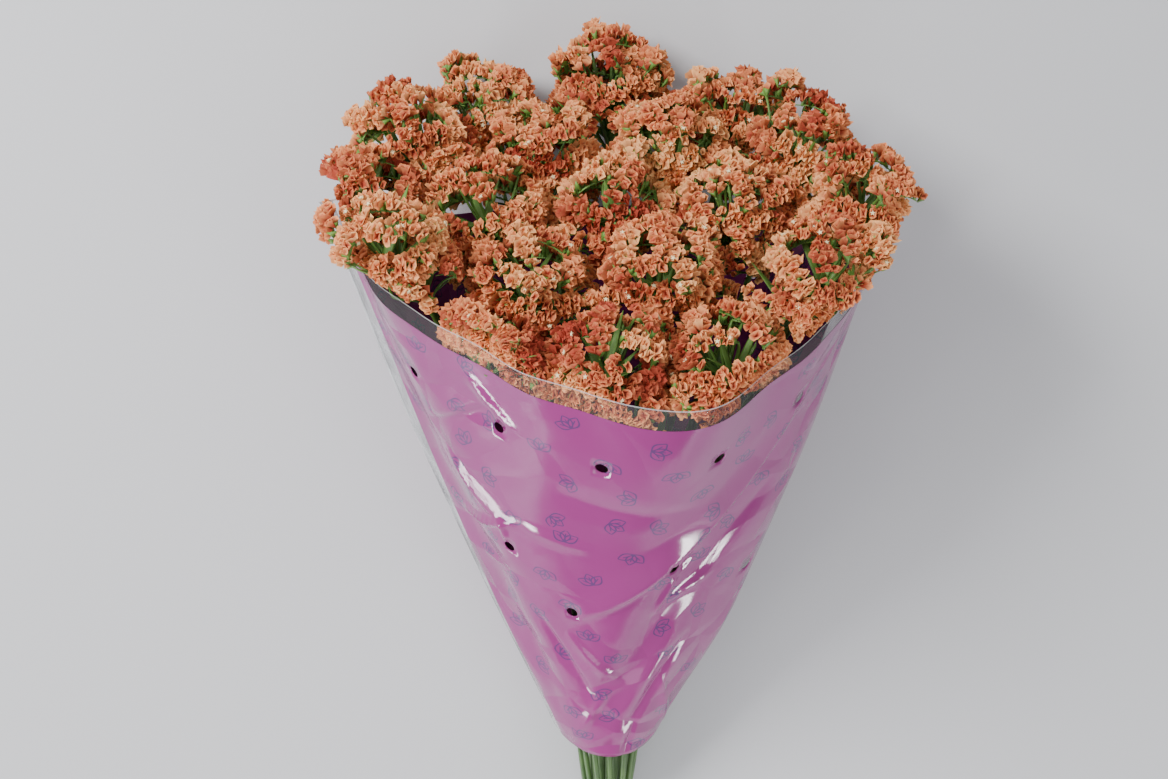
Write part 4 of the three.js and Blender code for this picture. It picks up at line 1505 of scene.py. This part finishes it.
@dataclass
class Nodes:
    """A material's node tree, with short ways to add and join nodes."""

    name: str

    def __post_init__(self) -> None:
        """Makes an empty material with its output."""
        self.material = bpy.data.materials.new(self.name)
        self.material.use_nodes = True
        self.tree = self.material.node_tree
        self.tree.nodes.clear()
        self.output = self.add("ShaderNodeOutputMaterial")

    def add(self, kind: str, **values: object) -> bpy.types.Node:
        """Adds a node and sets its properties and inputs.

        Args:
            kind: The node's type.
            values: Property names, or input names with spaces as underscores, and what each is set to.

        Returns:
            The node.
        """
        node = self.tree.nodes.new(kind)
        for name, value in values.items():
            if hasattr(node, name):
                setattr(node, name, value)
            else:
                node.inputs[name.replace("_", " ")].default_value = value
        return node

    def join(self, source: Socket, target: Socket) -> None:
        """Joins an output to an input."""
        self.tree.links.new(source, target)

    def ground(self, ground: Ground) -> Socket:
        """Gives the coordinates that a pattern reads."""
        return self.add("ShaderNodeTexCoord").outputs[ground.value]

    def split_map(self) -> tuple[Socket, Socket]:
        """Gives the piece's own two map coordinates.

        Returns:
            The two coordinates.
        """
        node = self.add("ShaderNodeSeparateXYZ")
        self.join(self.ground(Ground.PIECE), node.inputs[0])
        return node.outputs[0], node.outputs[1]

    def noise(self, source: Socket, scale: float, detail: float = 3.0) -> Socket:
        """Gives a soft noise.

        Args:
            source: The coordinates that it reads.
            scale: How many patches it has to a metre.
            detail: How many finer noises are laid over it.

        Returns:
            The noise, from 0 to 1.
        """
        node = self.add("ShaderNodeTexNoise", Scale=scale, Detail=detail)
        self.join(source, node.inputs["Vector"])
        return node.outputs["Fac"]

    def math(self, kind: str, first: object, second: object = 0.0, third: object = 0.0) -> Socket:
        """Gives a sum of sockets or numbers.

        Args:
            kind: The operation.
            first: Its first number or socket.
            second: Its second number or socket.
            third: Its third number or socket.

        Returns:
            The result.
        """
        node = self.add("ShaderNodeMath", operation=kind)
        for n, value in enumerate((first, second, third)):
            if isinstance(value, Socket):
                self.join(value, node.inputs[n])
            else:
                node.inputs[n].default_value = float(value)
        return node.outputs[0]

    def smooth(self, source: Socket, start: float, end: float) -> Socket:
        """Rises smoothly from 0 to 1 between two values.

        Args:
            source: What is read.
            start: Where the rise starts.
            end: Where it ends.

        Returns:
            The risen value.
        """
        node = self.add("ShaderNodeMapRange", interpolation_type="SMOOTHSTEP", From_Min=start, From_Max=end)
        self.join(source, node.inputs["Value"])
        return node.outputs[0]

    def ramp(self, source: Socket, stops: tuple[tuple[float, Colour], ...]) -> Socket:
        """Gives a colour ramp.

        Args:
            source: What is read.
            stops: Each stop's place and colour.

        Returns:
            The colour.
        """
        node = self.add("ShaderNodeValToRGB")
        elements = node.color_ramp.elements
        while len(elements) < len(stops):
            elements.new(1.0)
        for element, (position, colour) in zip(elements, stops):
            element.position, element.color = position, (*colour, 1.0)
        self.join(source, node.inputs["Fac"])
        return node.outputs["Color"]

    def mix(self, share: object, first: object, second: object) -> Socket:
        """Mixes two colours.

        Args:
            share: How much of the second, a number or a socket.
            first: The first colour or socket.
            second: The second colour or socket.

        Returns:
            The mixed colour.
        """
        node = self.add("ShaderNodeMix", data_type="RGBA", blend_type="MIX")
        for socket, value in ((node.inputs[0], share), (node.inputs[6], first), (node.inputs[7], second)):
            if isinstance(value, Socket):
                self.join(value, socket)
            elif isinstance(value, tuple):
                socket.default_value = (*value, 1.0)
            else:
                socket.default_value = float(value)
        return node.outputs[2]

    def bump(self, height: Socket, distance: float, strength: float) -> Socket:
        """Gives a bumped normal.

        Args:
            height: The height that is read.
            distance: How high a height of 1 stands, in metres.
            strength: How much of the bump shows.

        Returns:
            The normal.
        """
        node = self.add("ShaderNodeBump", Strength=strength, Distance=distance)
        self.join(height, node.inputs["Height"])
        return node.outputs["Normal"]

    def shade(self, **values: object) -> None:
        """Adds the surface shader and joins it to the output.

        Args:
            values: The shader's input names with spaces as underscores, and a value or socket for each.
        """
        node = self.add("ShaderNodeBsdfPrincipled")
        for name, value in values.items():
            socket = node.inputs[name.replace("_", " ")]
            if isinstance(value, Socket):
                self.join(value, socket)
            else:
                socket.default_value = value
        self.join(node.outputs[0], self.output.inputs["Surface"])


@dataclass(frozen=True)
class CalyxFinish:
    """Papery apricot calyces: green at the foot, coral inside, cream at the crinkled rim.

    The coral low down and inside is partly painted shade, and the cream rim is partly painted light.
    """

    foot: Colour = (0.16, 0.20, 0.05)
    coral: Colour = (0.37, 0.050, 0.028)
    apricot: Colour = (0.50, 0.122, 0.058)
    rim: Colour = (0.94, 0.385, 0.155)
    petal: Colour = (0.95, 0.84, 0.50)
    # Deep coral and pale cream: partly the florets' own tones, partly painted shade and light on whole combs.
    deep: Colour = (0.42, 0.065, 0.038)
    pale: Colour = (1.0, 0.62, 0.26)
    patch_scale: float = 14.0
    patch_share: float = 1.1
    tint_share: float = 0.75
    balance: float = -0.92
    deep_and_shade_gain: float = 2.0
    pale_and_light_gain: float = 1.5
    petal_above: float = 1.3

    def material(self) -> bpy.types.Material:
        """Makes the material: a ramp along each calyx, tinted by floret and by patches of the bunch towards
        deep coral and pale cream, partly the florets' own spread of tone and partly painted shade and light.

        Returns:
            The material.
        """
        nodes = Nodes("papery_calyx")
        tint, rise = nodes.split_map()
        # Coral low down and cream at the rim: partly the calyx's own colour, partly painted shade below and
        # painted light at the rim.
        lower = ((0.0, self.foot), (0.2, self.coral), (0.42, self.coral))
        along = nodes.ramp(rise, (*lower, (0.62, self.apricot), (1.0, self.rim)))
        patches = nodes.noise(nodes.ground(Ground.OBJECT), self.patch_scale, 2.0)
        tinted = nodes.math("MULTIPLY_ADD", tint, self.tint_share, self.balance)
        warm = nodes.math("MULTIPLY_ADD", patches, self.patch_share, tinted)
        cool = nodes.math("MULTIPLY", warm, -1.0)
        # Deep and pale by comb and patch: partly own tone, partly painted shade and light; the pale grows
        # towards the rim.
        deep_and_painted_shade = nodes.math("MULTIPLY", nodes.math("MAXIMUM", cool, 0.0), self.deep_and_shade_gain)
        pale_and_painted_light = nodes.math("MULTIPLY", nodes.math("MAXIMUM", warm, 0.0), self.pale_and_light_gain)
        colour = nodes.mix(deep_and_painted_shade, along, self.deep)
        colour = nodes.mix(nodes.math("MULTIPLY", pale_and_painted_light, rise), colour, self.pale)
        colour = nodes.mix(nodes.math("GREATER_THAN", rise, self.petal_above), colour, self.petal)
        nodes.shade(Base_Color=colour, Roughness=0.75, Specular_IOR_Level=0.12)
        return nodes.material


@dataclass(frozen=True)
class GreenFinish:
    """Plant green: darker and dull on old stems, fresh on wings, bracts and leaves."""

    old: Colour = (0.035, 0.085, 0.022)
    fresh: Colour = (0.17, 0.34, 0.055)
    mottle_scale: float = 70.0
    mottle_share: float = 0.55
    tint_share: float = 0.3
    rise_share: float = 0.35
    fibre_scale: float = 700.0
    fibre_height: float = 0.0004

    def material(self, name: str, shift: float) -> bpy.types.Material:
        """Makes the material.

        Args:
            name: The material's name.
            shift: How far it is moved from the old green towards the fresh one.

        Returns:
            The material.
        """
        nodes = Nodes(name)
        tint, rise = nodes.split_map()
        ground = nodes.ground(Ground.OBJECT)
        mottled = nodes.noise(ground, self.mottle_scale, 4.0)
        shifted = nodes.math("MULTIPLY_ADD", tint, self.tint_share, shift)
        share = nodes.math("MULTIPLY_ADD", mottled, self.mottle_share, shifted)
        share = nodes.math("MULTIPLY_ADD", rise, self.rise_share, share)
        fibres = nodes.noise(ground, self.fibre_scale, 2.0)
        nodes.shade(
            Base_Color=nodes.ramp(share, ((0.15, self.old), (0.95, self.fresh))),
            Roughness=0.52,
            Subsurface_Weight=0.12,
            Subsurface_Radius=(0.3, 0.6, 0.1),
            Subsurface_Scale=0.003,
            Normal=nodes.bump(fibres, self.fibre_height, 0.6),
        )
        return nodes.material


@dataclass(frozen=True)
class SheetPlace:
    """Where a point of the film is on its flat sheet, each as a socket, in metres."""

    across: Socket
    up: Socket
    side: Socket
    from_weld: Socket
    from_top: Socket
    by_weld: Socket
    inked: Socket


@dataclass(frozen=True)
class FilmFinish:
    """Glossy film: lilac ink with outlined leaf sprigs, clear along the welds and the top edge, with a
    painted whitish sheen and streaks by the welds and painted glint lines on the welds and the top edge.
    """

    ink: Colour = (0.255, 0.029, 0.166)
    light_ink: Colour = (0.304, 0.040, 0.198)
    clear: Colour = (0.34, 0.34, 0.35)
    # Painted whitish sheen on the clear margins by the welds.
    painted_margin_sheen: Colour = (0.62, 0.62, 0.65)
    # The glint lines painted on the welds and the top edge.
    painted_edge_glint: Colour = (0.85, 0.85, 0.88)
    outline: Colour = (0.085, 0.04, 0.14)
    cell: float = 0.052
    row_share: float = 0.78
    cell_shift: float = -0.35
    leaf: float = 0.0155
    leaf_from: float = 0.001
    leaf_turns: tuple[float, float, float] = (-0.9, 0.0, 0.9)
    leaf_half: float = 0.3
    line: float = 0.0008
    rib_line: float = 0.7
    rib_end: float = 0.7
    bare_cells: float = 0.15
    line_share: float = 0.85
    margin: float = 0.019
    top_band: float = 0.024
    weld: float = 0.0025
    edge: float = 0.0012
    ink_alpha: float = 0.965
    bare_alpha: float = 0.06
    painted_edge_glint_alpha: float = 0.3
    # Painted sheen streaks on the clear margins by the welds: their share of the streak noise, and the least.
    painted_sheen_streaks: Span = (1.2, 0.12)
    streak_scale: tuple[float, float, float] = (60.0, 9.0, 60.0)
    crinkle_scale: float = 11.0
    warp_scale: float = 6.0
    warp: float = 0.12
    soft_scale: float = 16.0
    crumpled_sides: Span = (0.2, 0.75)
    crumpled_below: Span = (0.2, 0.42)
    crumple_share: Span = (0.85, 0.15)
    crinkle_share: float = 1.6
    soft_share: float = 0.5
    bump_height: float = 0.010

    def place(self, nodes: Nodes, shape: SleeveShape) -> SheetPlace:
        """Reads where a point is on its sheet from the film's map.

        Args:
            nodes: The material's nodes.
            shape: The sleeve, for its sizes.

        Returns:
            The place.
        """
        across, stored = nodes.split_map()
        on_back = nodes.math("GREATER_THAN", stored, 1.0)
        up = nodes.math("MULTIPLY_ADD", on_back, -BACK_SHEET, stored)
        above_apex = nodes.math("ADD", up, shape.to_hem * MM)
        side = nodes.math("MULTIPLY", above_apex, shape.top_width / 2 / (shape.to_hem + shape.height))
        from_weld = nodes.math("SUBTRACT", side, nodes.math("ABSOLUTE", across))
        from_top = nodes.math("SUBTRACT", shape.height * MM, up)
        by_weld = nodes.math("LESS_THAN", from_weld, self.margin)
        past_margin = nodes.math("GREATER_THAN", from_weld, self.margin)
        inked = nodes.math("MULTIPLY", past_margin, nodes.math("GREATER_THAN", from_top, self.top_band))
        return SheetPlace(across, up, side, from_weld, from_top, by_weld, inked)

    def leaf_lines(self, nodes: Nodes, x: Socket, y: Socket, angle: Socket) -> Socket:
        """Draws one outlined leaf with its rib.

        Its half width is a sine of the place along it, and the outline is where the distance across
        differs little from that.

        Args:
            nodes: The material's nodes.
            x: The place across its cell, in metres.
            y: The place up its cell, in metres.
            angle: The turn of the leaf.

        Returns:
            The lines, 1 on them and 0 off them.
        """
        cosine, sine = nodes.math("COSINE", angle), nodes.math("SINE", angle)
        along = nodes.math("ADD", nodes.math("MULTIPLY", x, cosine), nodes.math("MULTIPLY", y, sine))
        off = nodes.math("SUBTRACT", nodes.math("MULTIPLY", y, cosine), nodes.math("MULTIPLY", x, sine))
        off = nodes.math("ABSOLUTE", off)
        share = nodes.math("DIVIDE", nodes.math("ADD", along, self.leaf_from), self.leaf)
        started, ended = nodes.math("GREATER_THAN", share, 0.0), nodes.math("LESS_THAN", share, 1.0)
        bell = nodes.math("SINE", nodes.math("MULTIPLY", share, math.pi))
        half = nodes.math("MULTIPLY", bell, self.leaf * self.leaf_half)
        from_edge = nodes.math("ABSOLUTE", nodes.math("SUBTRACT", off, half))
        edge = nodes.math("LESS_THAN", from_edge, self.line)
        rib = nodes.math("LESS_THAN", off, self.line * self.rib_line)
        rib = nodes.math("MULTIPLY", rib, nodes.math("LESS_THAN", share, self.rib_end))
        inside = nodes.math("MULTIPLY", started, ended)
        return nodes.math("MULTIPLY", nodes.math("MAXIMUM", edge, rib), inside)

    def sprig_lines(self, nodes: Nodes, place: SheetPlace) -> Socket:
        """Draws outlined sprigs of three leaves, one in each cell of a staggered net.

        A cell's own draw shifts and turns its sprig, and leaves a few cells bare.

        Args:
            nodes: The material's nodes.
            place: The place on the sheet.

        Returns:
            The lines, 1 on them and 0 off them.
        """
        high = self.cell * self.row_share
        row_at = nodes.math("DIVIDE", place.up, high)
        row = nodes.math("FLOOR", row_at)
        odd = nodes.math("MULTIPLY", nodes.math("FLOORED_MODULO", row, 2.0), 0.5)
        column_at = nodes.math("ADD", nodes.math("DIVIDE", place.across, self.cell), odd)
        column = nodes.math("FLOOR", column_at)
        both = nodes.add("ShaderNodeCombineXYZ")
        nodes.join(column, both.inputs[0])
        nodes.join(row, both.inputs[1])
        chance = nodes.add("ShaderNodeTexWhiteNoise", noise_dimensions="3D")
        nodes.join(both.outputs[0], chance.inputs["Vector"])
        parts = nodes.add("ShaderNodeSeparateColor")
        nodes.join(chance.outputs["Color"], parts.inputs[0])
        local = []
        for at, whole, part, size in ((column_at, column, 0, self.cell), (row_at, row, 1, high)):
            centred = nodes.math("SUBTRACT", nodes.math("SUBTRACT", at, whole), 0.5)
            drawn = nodes.math("SUBTRACT", parts.outputs[part], 0.5)
            shifted = nodes.math("MULTIPLY_ADD", drawn, self.cell_shift, centred)
            local.append(nodes.math("MULTIPLY", shifted, size))
        lines = None
        for turn in self.leaf_turns:
            angle = nodes.math("MULTIPLY_ADD", chance.outputs["Value"], 6.28, turn)
            leaf = self.leaf_lines(nodes, *local, angle)
            lines = leaf if lines is None else nodes.math("MAXIMUM", lines, leaf)
        kept = nodes.math("GREATER_THAN", parts.outputs[2], self.bare_cells)
        return nodes.math("MULTIPLY", lines, kept)

    def painted_edge_glint_lines(self, nodes: Nodes, place: SheetPlace) -> Socket:
        """Gives 1 on the two welds and along the film's top edge, where glint lines are painted, and 0
        elsewhere.

        Args:
            nodes: The material's nodes.
            place: The place on the sheet.

        Returns:
            The mask.
        """
        weld = nodes.math("LESS_THAN", place.from_weld, self.weld)
        edge = nodes.math("LESS_THAN", place.from_top, self.edge)
        return nodes.math("MAXIMUM", weld, edge)

    def colour(self, nodes: Nodes, ground: Socket, place: SheetPlace, painted_edge_glint: Socket) -> Socket:
        """Gives the film's colour: printed ink, or clear film with a painted whitish sheen by the welds.

        Args:
            nodes: The material's nodes.
            ground: The object's coordinates.
            place: The place on the sheet.
            painted_edge_glint: The welds and the top edge.

        Returns:
            The colour.
        """
        ink = nodes.mix(nodes.noise(ground, 7.0, 2.0), self.ink, self.light_ink)
        lines = nodes.math("MULTIPLY", self.sprig_lines(nodes, place), self.line_share)
        printed = nodes.mix(lines, ink, self.outline)
        # Painted whitish sheen on the clear margins by the welds.
        bare = nodes.mix(place.by_weld, self.clear, self.painted_margin_sheen)
        # Painted glint lines on the welds and the top edge.
        bare = nodes.mix(nodes.math("MULTIPLY", painted_edge_glint, 0.7), bare, self.painted_edge_glint)
        return nodes.mix(place.inked, bare, printed)

    def opacity(self, nodes: Nodes, ground: Socket, place: SheetPlace, painted_edge_glint: Socket) -> Socket:
        """Gives how solid the film looks: high under ink, raised in painted sheen streaks by the welds, low
        elsewhere.

        Args:
            nodes: The material's nodes.
            ground: The object's coordinates.
            place: The place on the sheet.
            painted_edge_glint: The welds and the top edge.

        Returns:
            The opacity, from 0 to 1.
        """
        drawn_out = nodes.add("ShaderNodeMapping", Scale=self.streak_scale)
        nodes.join(ground, drawn_out.inputs["Vector"])
        # Painted reflection streaks by the welds.
        streaks = nodes.math("POWER", nodes.noise(drawn_out.outputs[0], 1.0, 2.0), 3.0)
        painted_sheen_streaks = nodes.math("MULTIPLY_ADD", streaks, *self.painted_sheen_streaks)
        # The painted glint lines on the welds and the top edge show more solid.
        edge = nodes.math("MULTIPLY_ADD", painted_edge_glint, self.painted_edge_glint_alpha, self.bare_alpha)
        bare = nodes.math("MULTIPLY_ADD", place.by_weld, painted_sheen_streaks, edge)
        return nodes.math("MAXIMUM", nodes.math("MULTIPLY", place.inked, self.ink_alpha), bare)

    def crumple(self, nodes: Nodes, ground: Socket, place: SheetPlace) -> Socket:
        """Gives the height of the fine crumpling: bent cells, strongest at the sides and low down.

        Args:
            nodes: The material's nodes.
            ground: The object's coordinates.
            place: The place on the sheet.

        Returns:
            The height.
        """
        crinkle = nodes.add("ShaderNodeTexVoronoi", feature="DISTANCE_TO_EDGE", Scale=self.crinkle_scale)
        warped = nodes.add("ShaderNodeTexNoise", Scale=self.warp_scale, Detail=2.0)
        nodes.join(ground, warped.inputs["Vector"])
        bent = nodes.add("ShaderNodeVectorMath", operation="MULTIPLY_ADD")
        nodes.join(warped.outputs["Color"], bent.inputs[0])
        bent.inputs[1].default_value = (self.warp,) * 3
        nodes.join(ground, bent.inputs[2])
        nodes.join(bent.outputs[0], crinkle.inputs["Vector"])
        sideways = nodes.math("DIVIDE", nodes.math("ABSOLUTE", place.across), place.side)
        by_side = nodes.smooth(sideways, *self.crumpled_sides)
        below = nodes.smooth(place.from_top, *self.crumpled_below)
        strength = nodes.math("MULTIPLY_ADD", nodes.math("MAXIMUM", by_side, below), *self.crumple_share)
        soft = nodes.math("MULTIPLY", nodes.noise(ground, self.soft_scale, 1.0), self.soft_share)
        height = nodes.math("MULTIPLY_ADD", crinkle.outputs["Distance"], self.crinkle_share, soft)
        return nodes.math("MULTIPLY", height, strength)

    def material(self, shape: SleeveShape) -> bpy.types.Material:
        """Makes the material: the sheet's own map says where ink, margins, sprigs and welds are.

        Args:
            shape: The sleeve, for its sizes.

        Returns:
            The material.
        """
        nodes = Nodes("sleeve_film")
        ground, place = nodes.ground(Ground.OBJECT), self.place(nodes, shape)
        # Where the glint lines are painted: the welds and the top edge.
        painted_edge_glint = self.painted_edge_glint_lines(nodes, place)
        nodes.shade(
            Base_Color=self.colour(nodes, ground, place, painted_edge_glint),
            Roughness=0.12,
            Alpha=self.opacity(nodes, ground, place, painted_edge_glint),
            Specular_IOR_Level=0.3,
            Coat_Weight=0.25,
            Coat_Roughness=0.03,
            Normal=nodes.bump(self.crumple(nodes, ground, place), self.bump_height, 0.8),
        )
        return nodes.material


@dataclass(frozen=True)
class BandFinish:
    """Tan rubber with a fine dusty grain."""

    tan: Colour = (0.48, 0.26, 0.09)
    dusty: Colour = (0.62, 0.38, 0.17)
    grain_scale: float = 900.0
    grain_height: float = 0.0003

    def material(self) -> bpy.types.Material:
        """Makes the material.

        Returns:
            The material.
        """
        nodes = Nodes("rubber_band")
        grain = nodes.noise(nodes.ground(Ground.OBJECT), self.grain_scale, 3.0)
        bumped = nodes.bump(grain, self.grain_height, 0.5)
        nodes.shade(Base_Color=nodes.mix(grain, self.tan, self.dusty), Roughness=0.6, Normal=bumped)
        return nodes.material


@dataclass(frozen=True)
class SoftLight:
    """A square soft light that faces the bunch: its place and side in metres, its power in watts."""

    name: str
    place: tuple[float, float, float]
    side: float
    power: float

    def build(self, target: Vector) -> None:
        """Adds the light.

        Args:
            target: The point that it faces, in metres.
        """
        data = bpy.data.lights.new(self.name, "AREA")
        data.shape, data.size, data.energy = "SQUARE", self.side, self.power
        made = bpy.data.objects.new(self.name, data)
        made.location = self.place
        made.rotation_mode = "QUATERNION"
        made.rotation_quaternion = (target - Vector(self.place)).to_track_quat("-Z", "Y")
        bpy.context.scene.collection.objects.link(made)


@dataclass
class Studio:
    """The pale floor, the soft lights and the camera, which looks down on the bunch."""

    distance: float = 2195.0
    tilt: float = 12.0 * DEG
    roll: float = 0.2 * DEG
    aim: tuple[float, float, float] = (-24.0, 490.0, 200.0)
    lens: float = 78.2
    sensor: float = 36.0
    floor_half: float = 6.0
    paper: tuple[Colour, Colour] = ((0.60, 0.60, 0.62), (0.66, 0.66, 0.68))
    lit: tuple[float, float, float] = (0, 0, 0.15)
    lights: tuple[SoftLight, ...] = (
        SoftLight("key_left", (-1.4, 1.4, 2.0), 0.9, 80),
        SoftLight("low_left", (-1.6, -1.7, 0.5), 0.55, 40),
        SoftLight("low_right", (1.3, -2.0, 0.5), 0.45, 26),
        SoftLight("front_fill", (0.1, -1.7, 1.5), 0.9, 9),
    )
    air: Colour = (0.95, 0.97, 1.0)
    air_strength: Span = (0.3, 0.88)

    def floor(self) -> None:
        """Makes the floor: one large flat square under the bunch."""
        half = self.floor_half
        corners = [(-half, -half, 0), (half, -half, 0), (half, half, 0), (-half, half, 0)]
        mesh = bpy.data.meshes.new("studio_floor")
        mesh.from_pydata(corners, [], [(0, 1, 2, 3)])
        made = bpy.data.objects.new("studio_floor", mesh)
        bpy.context.scene.collection.objects.link(made)
        nodes = Nodes("studio_paper")
        soft = nodes.noise(nodes.ground(Ground.OBJECT), 1.2, 1.0)
        nodes.shade(Base_Color=nodes.mix(soft, *self.paper), Roughness=0.9)
        mesh.materials.append(nodes.material)

    def surroundings(self) -> None:
        """Makes the dim surroundings, which brighten from low down to straight up."""
        world = bpy.data.worlds.new("studio")
        bpy.context.scene.world = world
        world.use_nodes = True
        tree = world.node_tree
        background = tree.nodes["Background"]
        background.inputs["Color"].default_value = (*self.air, 1.0)
        split = tree.nodes.new("ShaderNodeSeparateXYZ")
        tree.links.new(tree.nodes.new("ShaderNodeTexCoord").outputs["Generated"], split.inputs[0])
        rise = tree.nodes.new("ShaderNodeMapRange")
        rise.inputs["To Min"].default_value, rise.inputs["To Max"].default_value = self.air_strength
        tree.links.new(split.outputs["Z"], rise.inputs["Value"])
        tree.links.new(rise.outputs["Result"], background.inputs["Strength"])

    def camera(self) -> None:
        """Adds the camera: its place is the aim less the view direction times the distance."""
        forward = np.array([0.0, -math.sin(self.tilt), -math.cos(self.tilt)])
        place = (np.array(self.aim) - forward * self.distance + ORIGIN_SHIFT) * MM
        up = Vector((0.0, math.cos(self.tilt), -math.sin(self.tilt)))
        back = Vector(-forward)
        right = up.cross(back)
        turned = Matrix((right, up, back)).transposed() @ Matrix.Rotation(self.roll, 3, "Z")
        data = bpy.data.cameras.new("camera")
        data.lens, data.sensor_width, data.clip_end = self.lens, self.sensor, 50.0
        made = bpy.data.objects.new("camera", data)
        made.rotation_mode = "QUATERNION"
        made.location, made.rotation_quaternion = Vector(place), turned.to_quaternion()
        bpy.context.scene.collection.objects.link(made)
        bpy.context.scene.camera = made

    def build(self) -> None:
        """Sets up the floor, the lights, the surroundings and the camera."""
        self.floor()
        for light in self.lights:
            light.build(Vector(self.lit))
        self.surroundings()
        self.camera()


@dataclass
class Bunch:
    """The whole sleeved bunch: it builds each piece, dresses it, and hides the solids that it stands for."""

    sleeve: SleeveShape = field(default_factory=SleeveShape)

    def dress(self, piece: bpy.types.Object, material: bpy.types.Material, slot: str, *nodes: str) -> None:
        """Gives a piece its material and its body, and hides the solids that it stands for.

        Args:
            piece: The piece.
            material: Its material.
            slot: Not used.
            nodes: The solids that it replaces.
        """
        piece.data.materials.append(material)
        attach(piece, "root")
        if nodes:
            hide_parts(*nodes)
        LOG.info("%s: %d faces", piece.name, len(piece.data.polygons))

    def build(self) -> None:
        """Builds every piece in order: the film, the tie, the stems and the flower heads."""
        plan = BunchPlan(self.sleeve)
        places = plan.places()
        film = FilmSleeve(self.sleeve).build()
        self.dress(film, FilmFinish().material(self.sleeve), "film", "sleeve")
        self.dress(TieBand(plan, places).build(), BandFinish().material(), "band", "tie_band")
        calyx = CalyxFinish().material()
        stem_green = GreenFinish().material("stem_green", -0.05)
        bract_green = GreenFinish().material("bract_green", 0.12)
        for place in places:
            self.dress(WingedStem(plan, place).build(), stem_green, "stem", f"stem_{place.label}")
            papery, green = FlowerHead(plan, place, places).build()
            self.dress(papery, calyx, "calyx", f"flower_head_{place.label}")
            self.dress(green, bract_green, "stem")


def main() -> None:
    """Loads the frame, builds the bunch and the studio."""
    logging.basicConfig(level=logging.INFO, format="%(message)s")
    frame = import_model()
    LOG.info("%d solids to dress", len(frame["nodes"]))
    Bunch().build()
    Studio().build()
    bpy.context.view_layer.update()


if __name__ == "__main__":
    main()
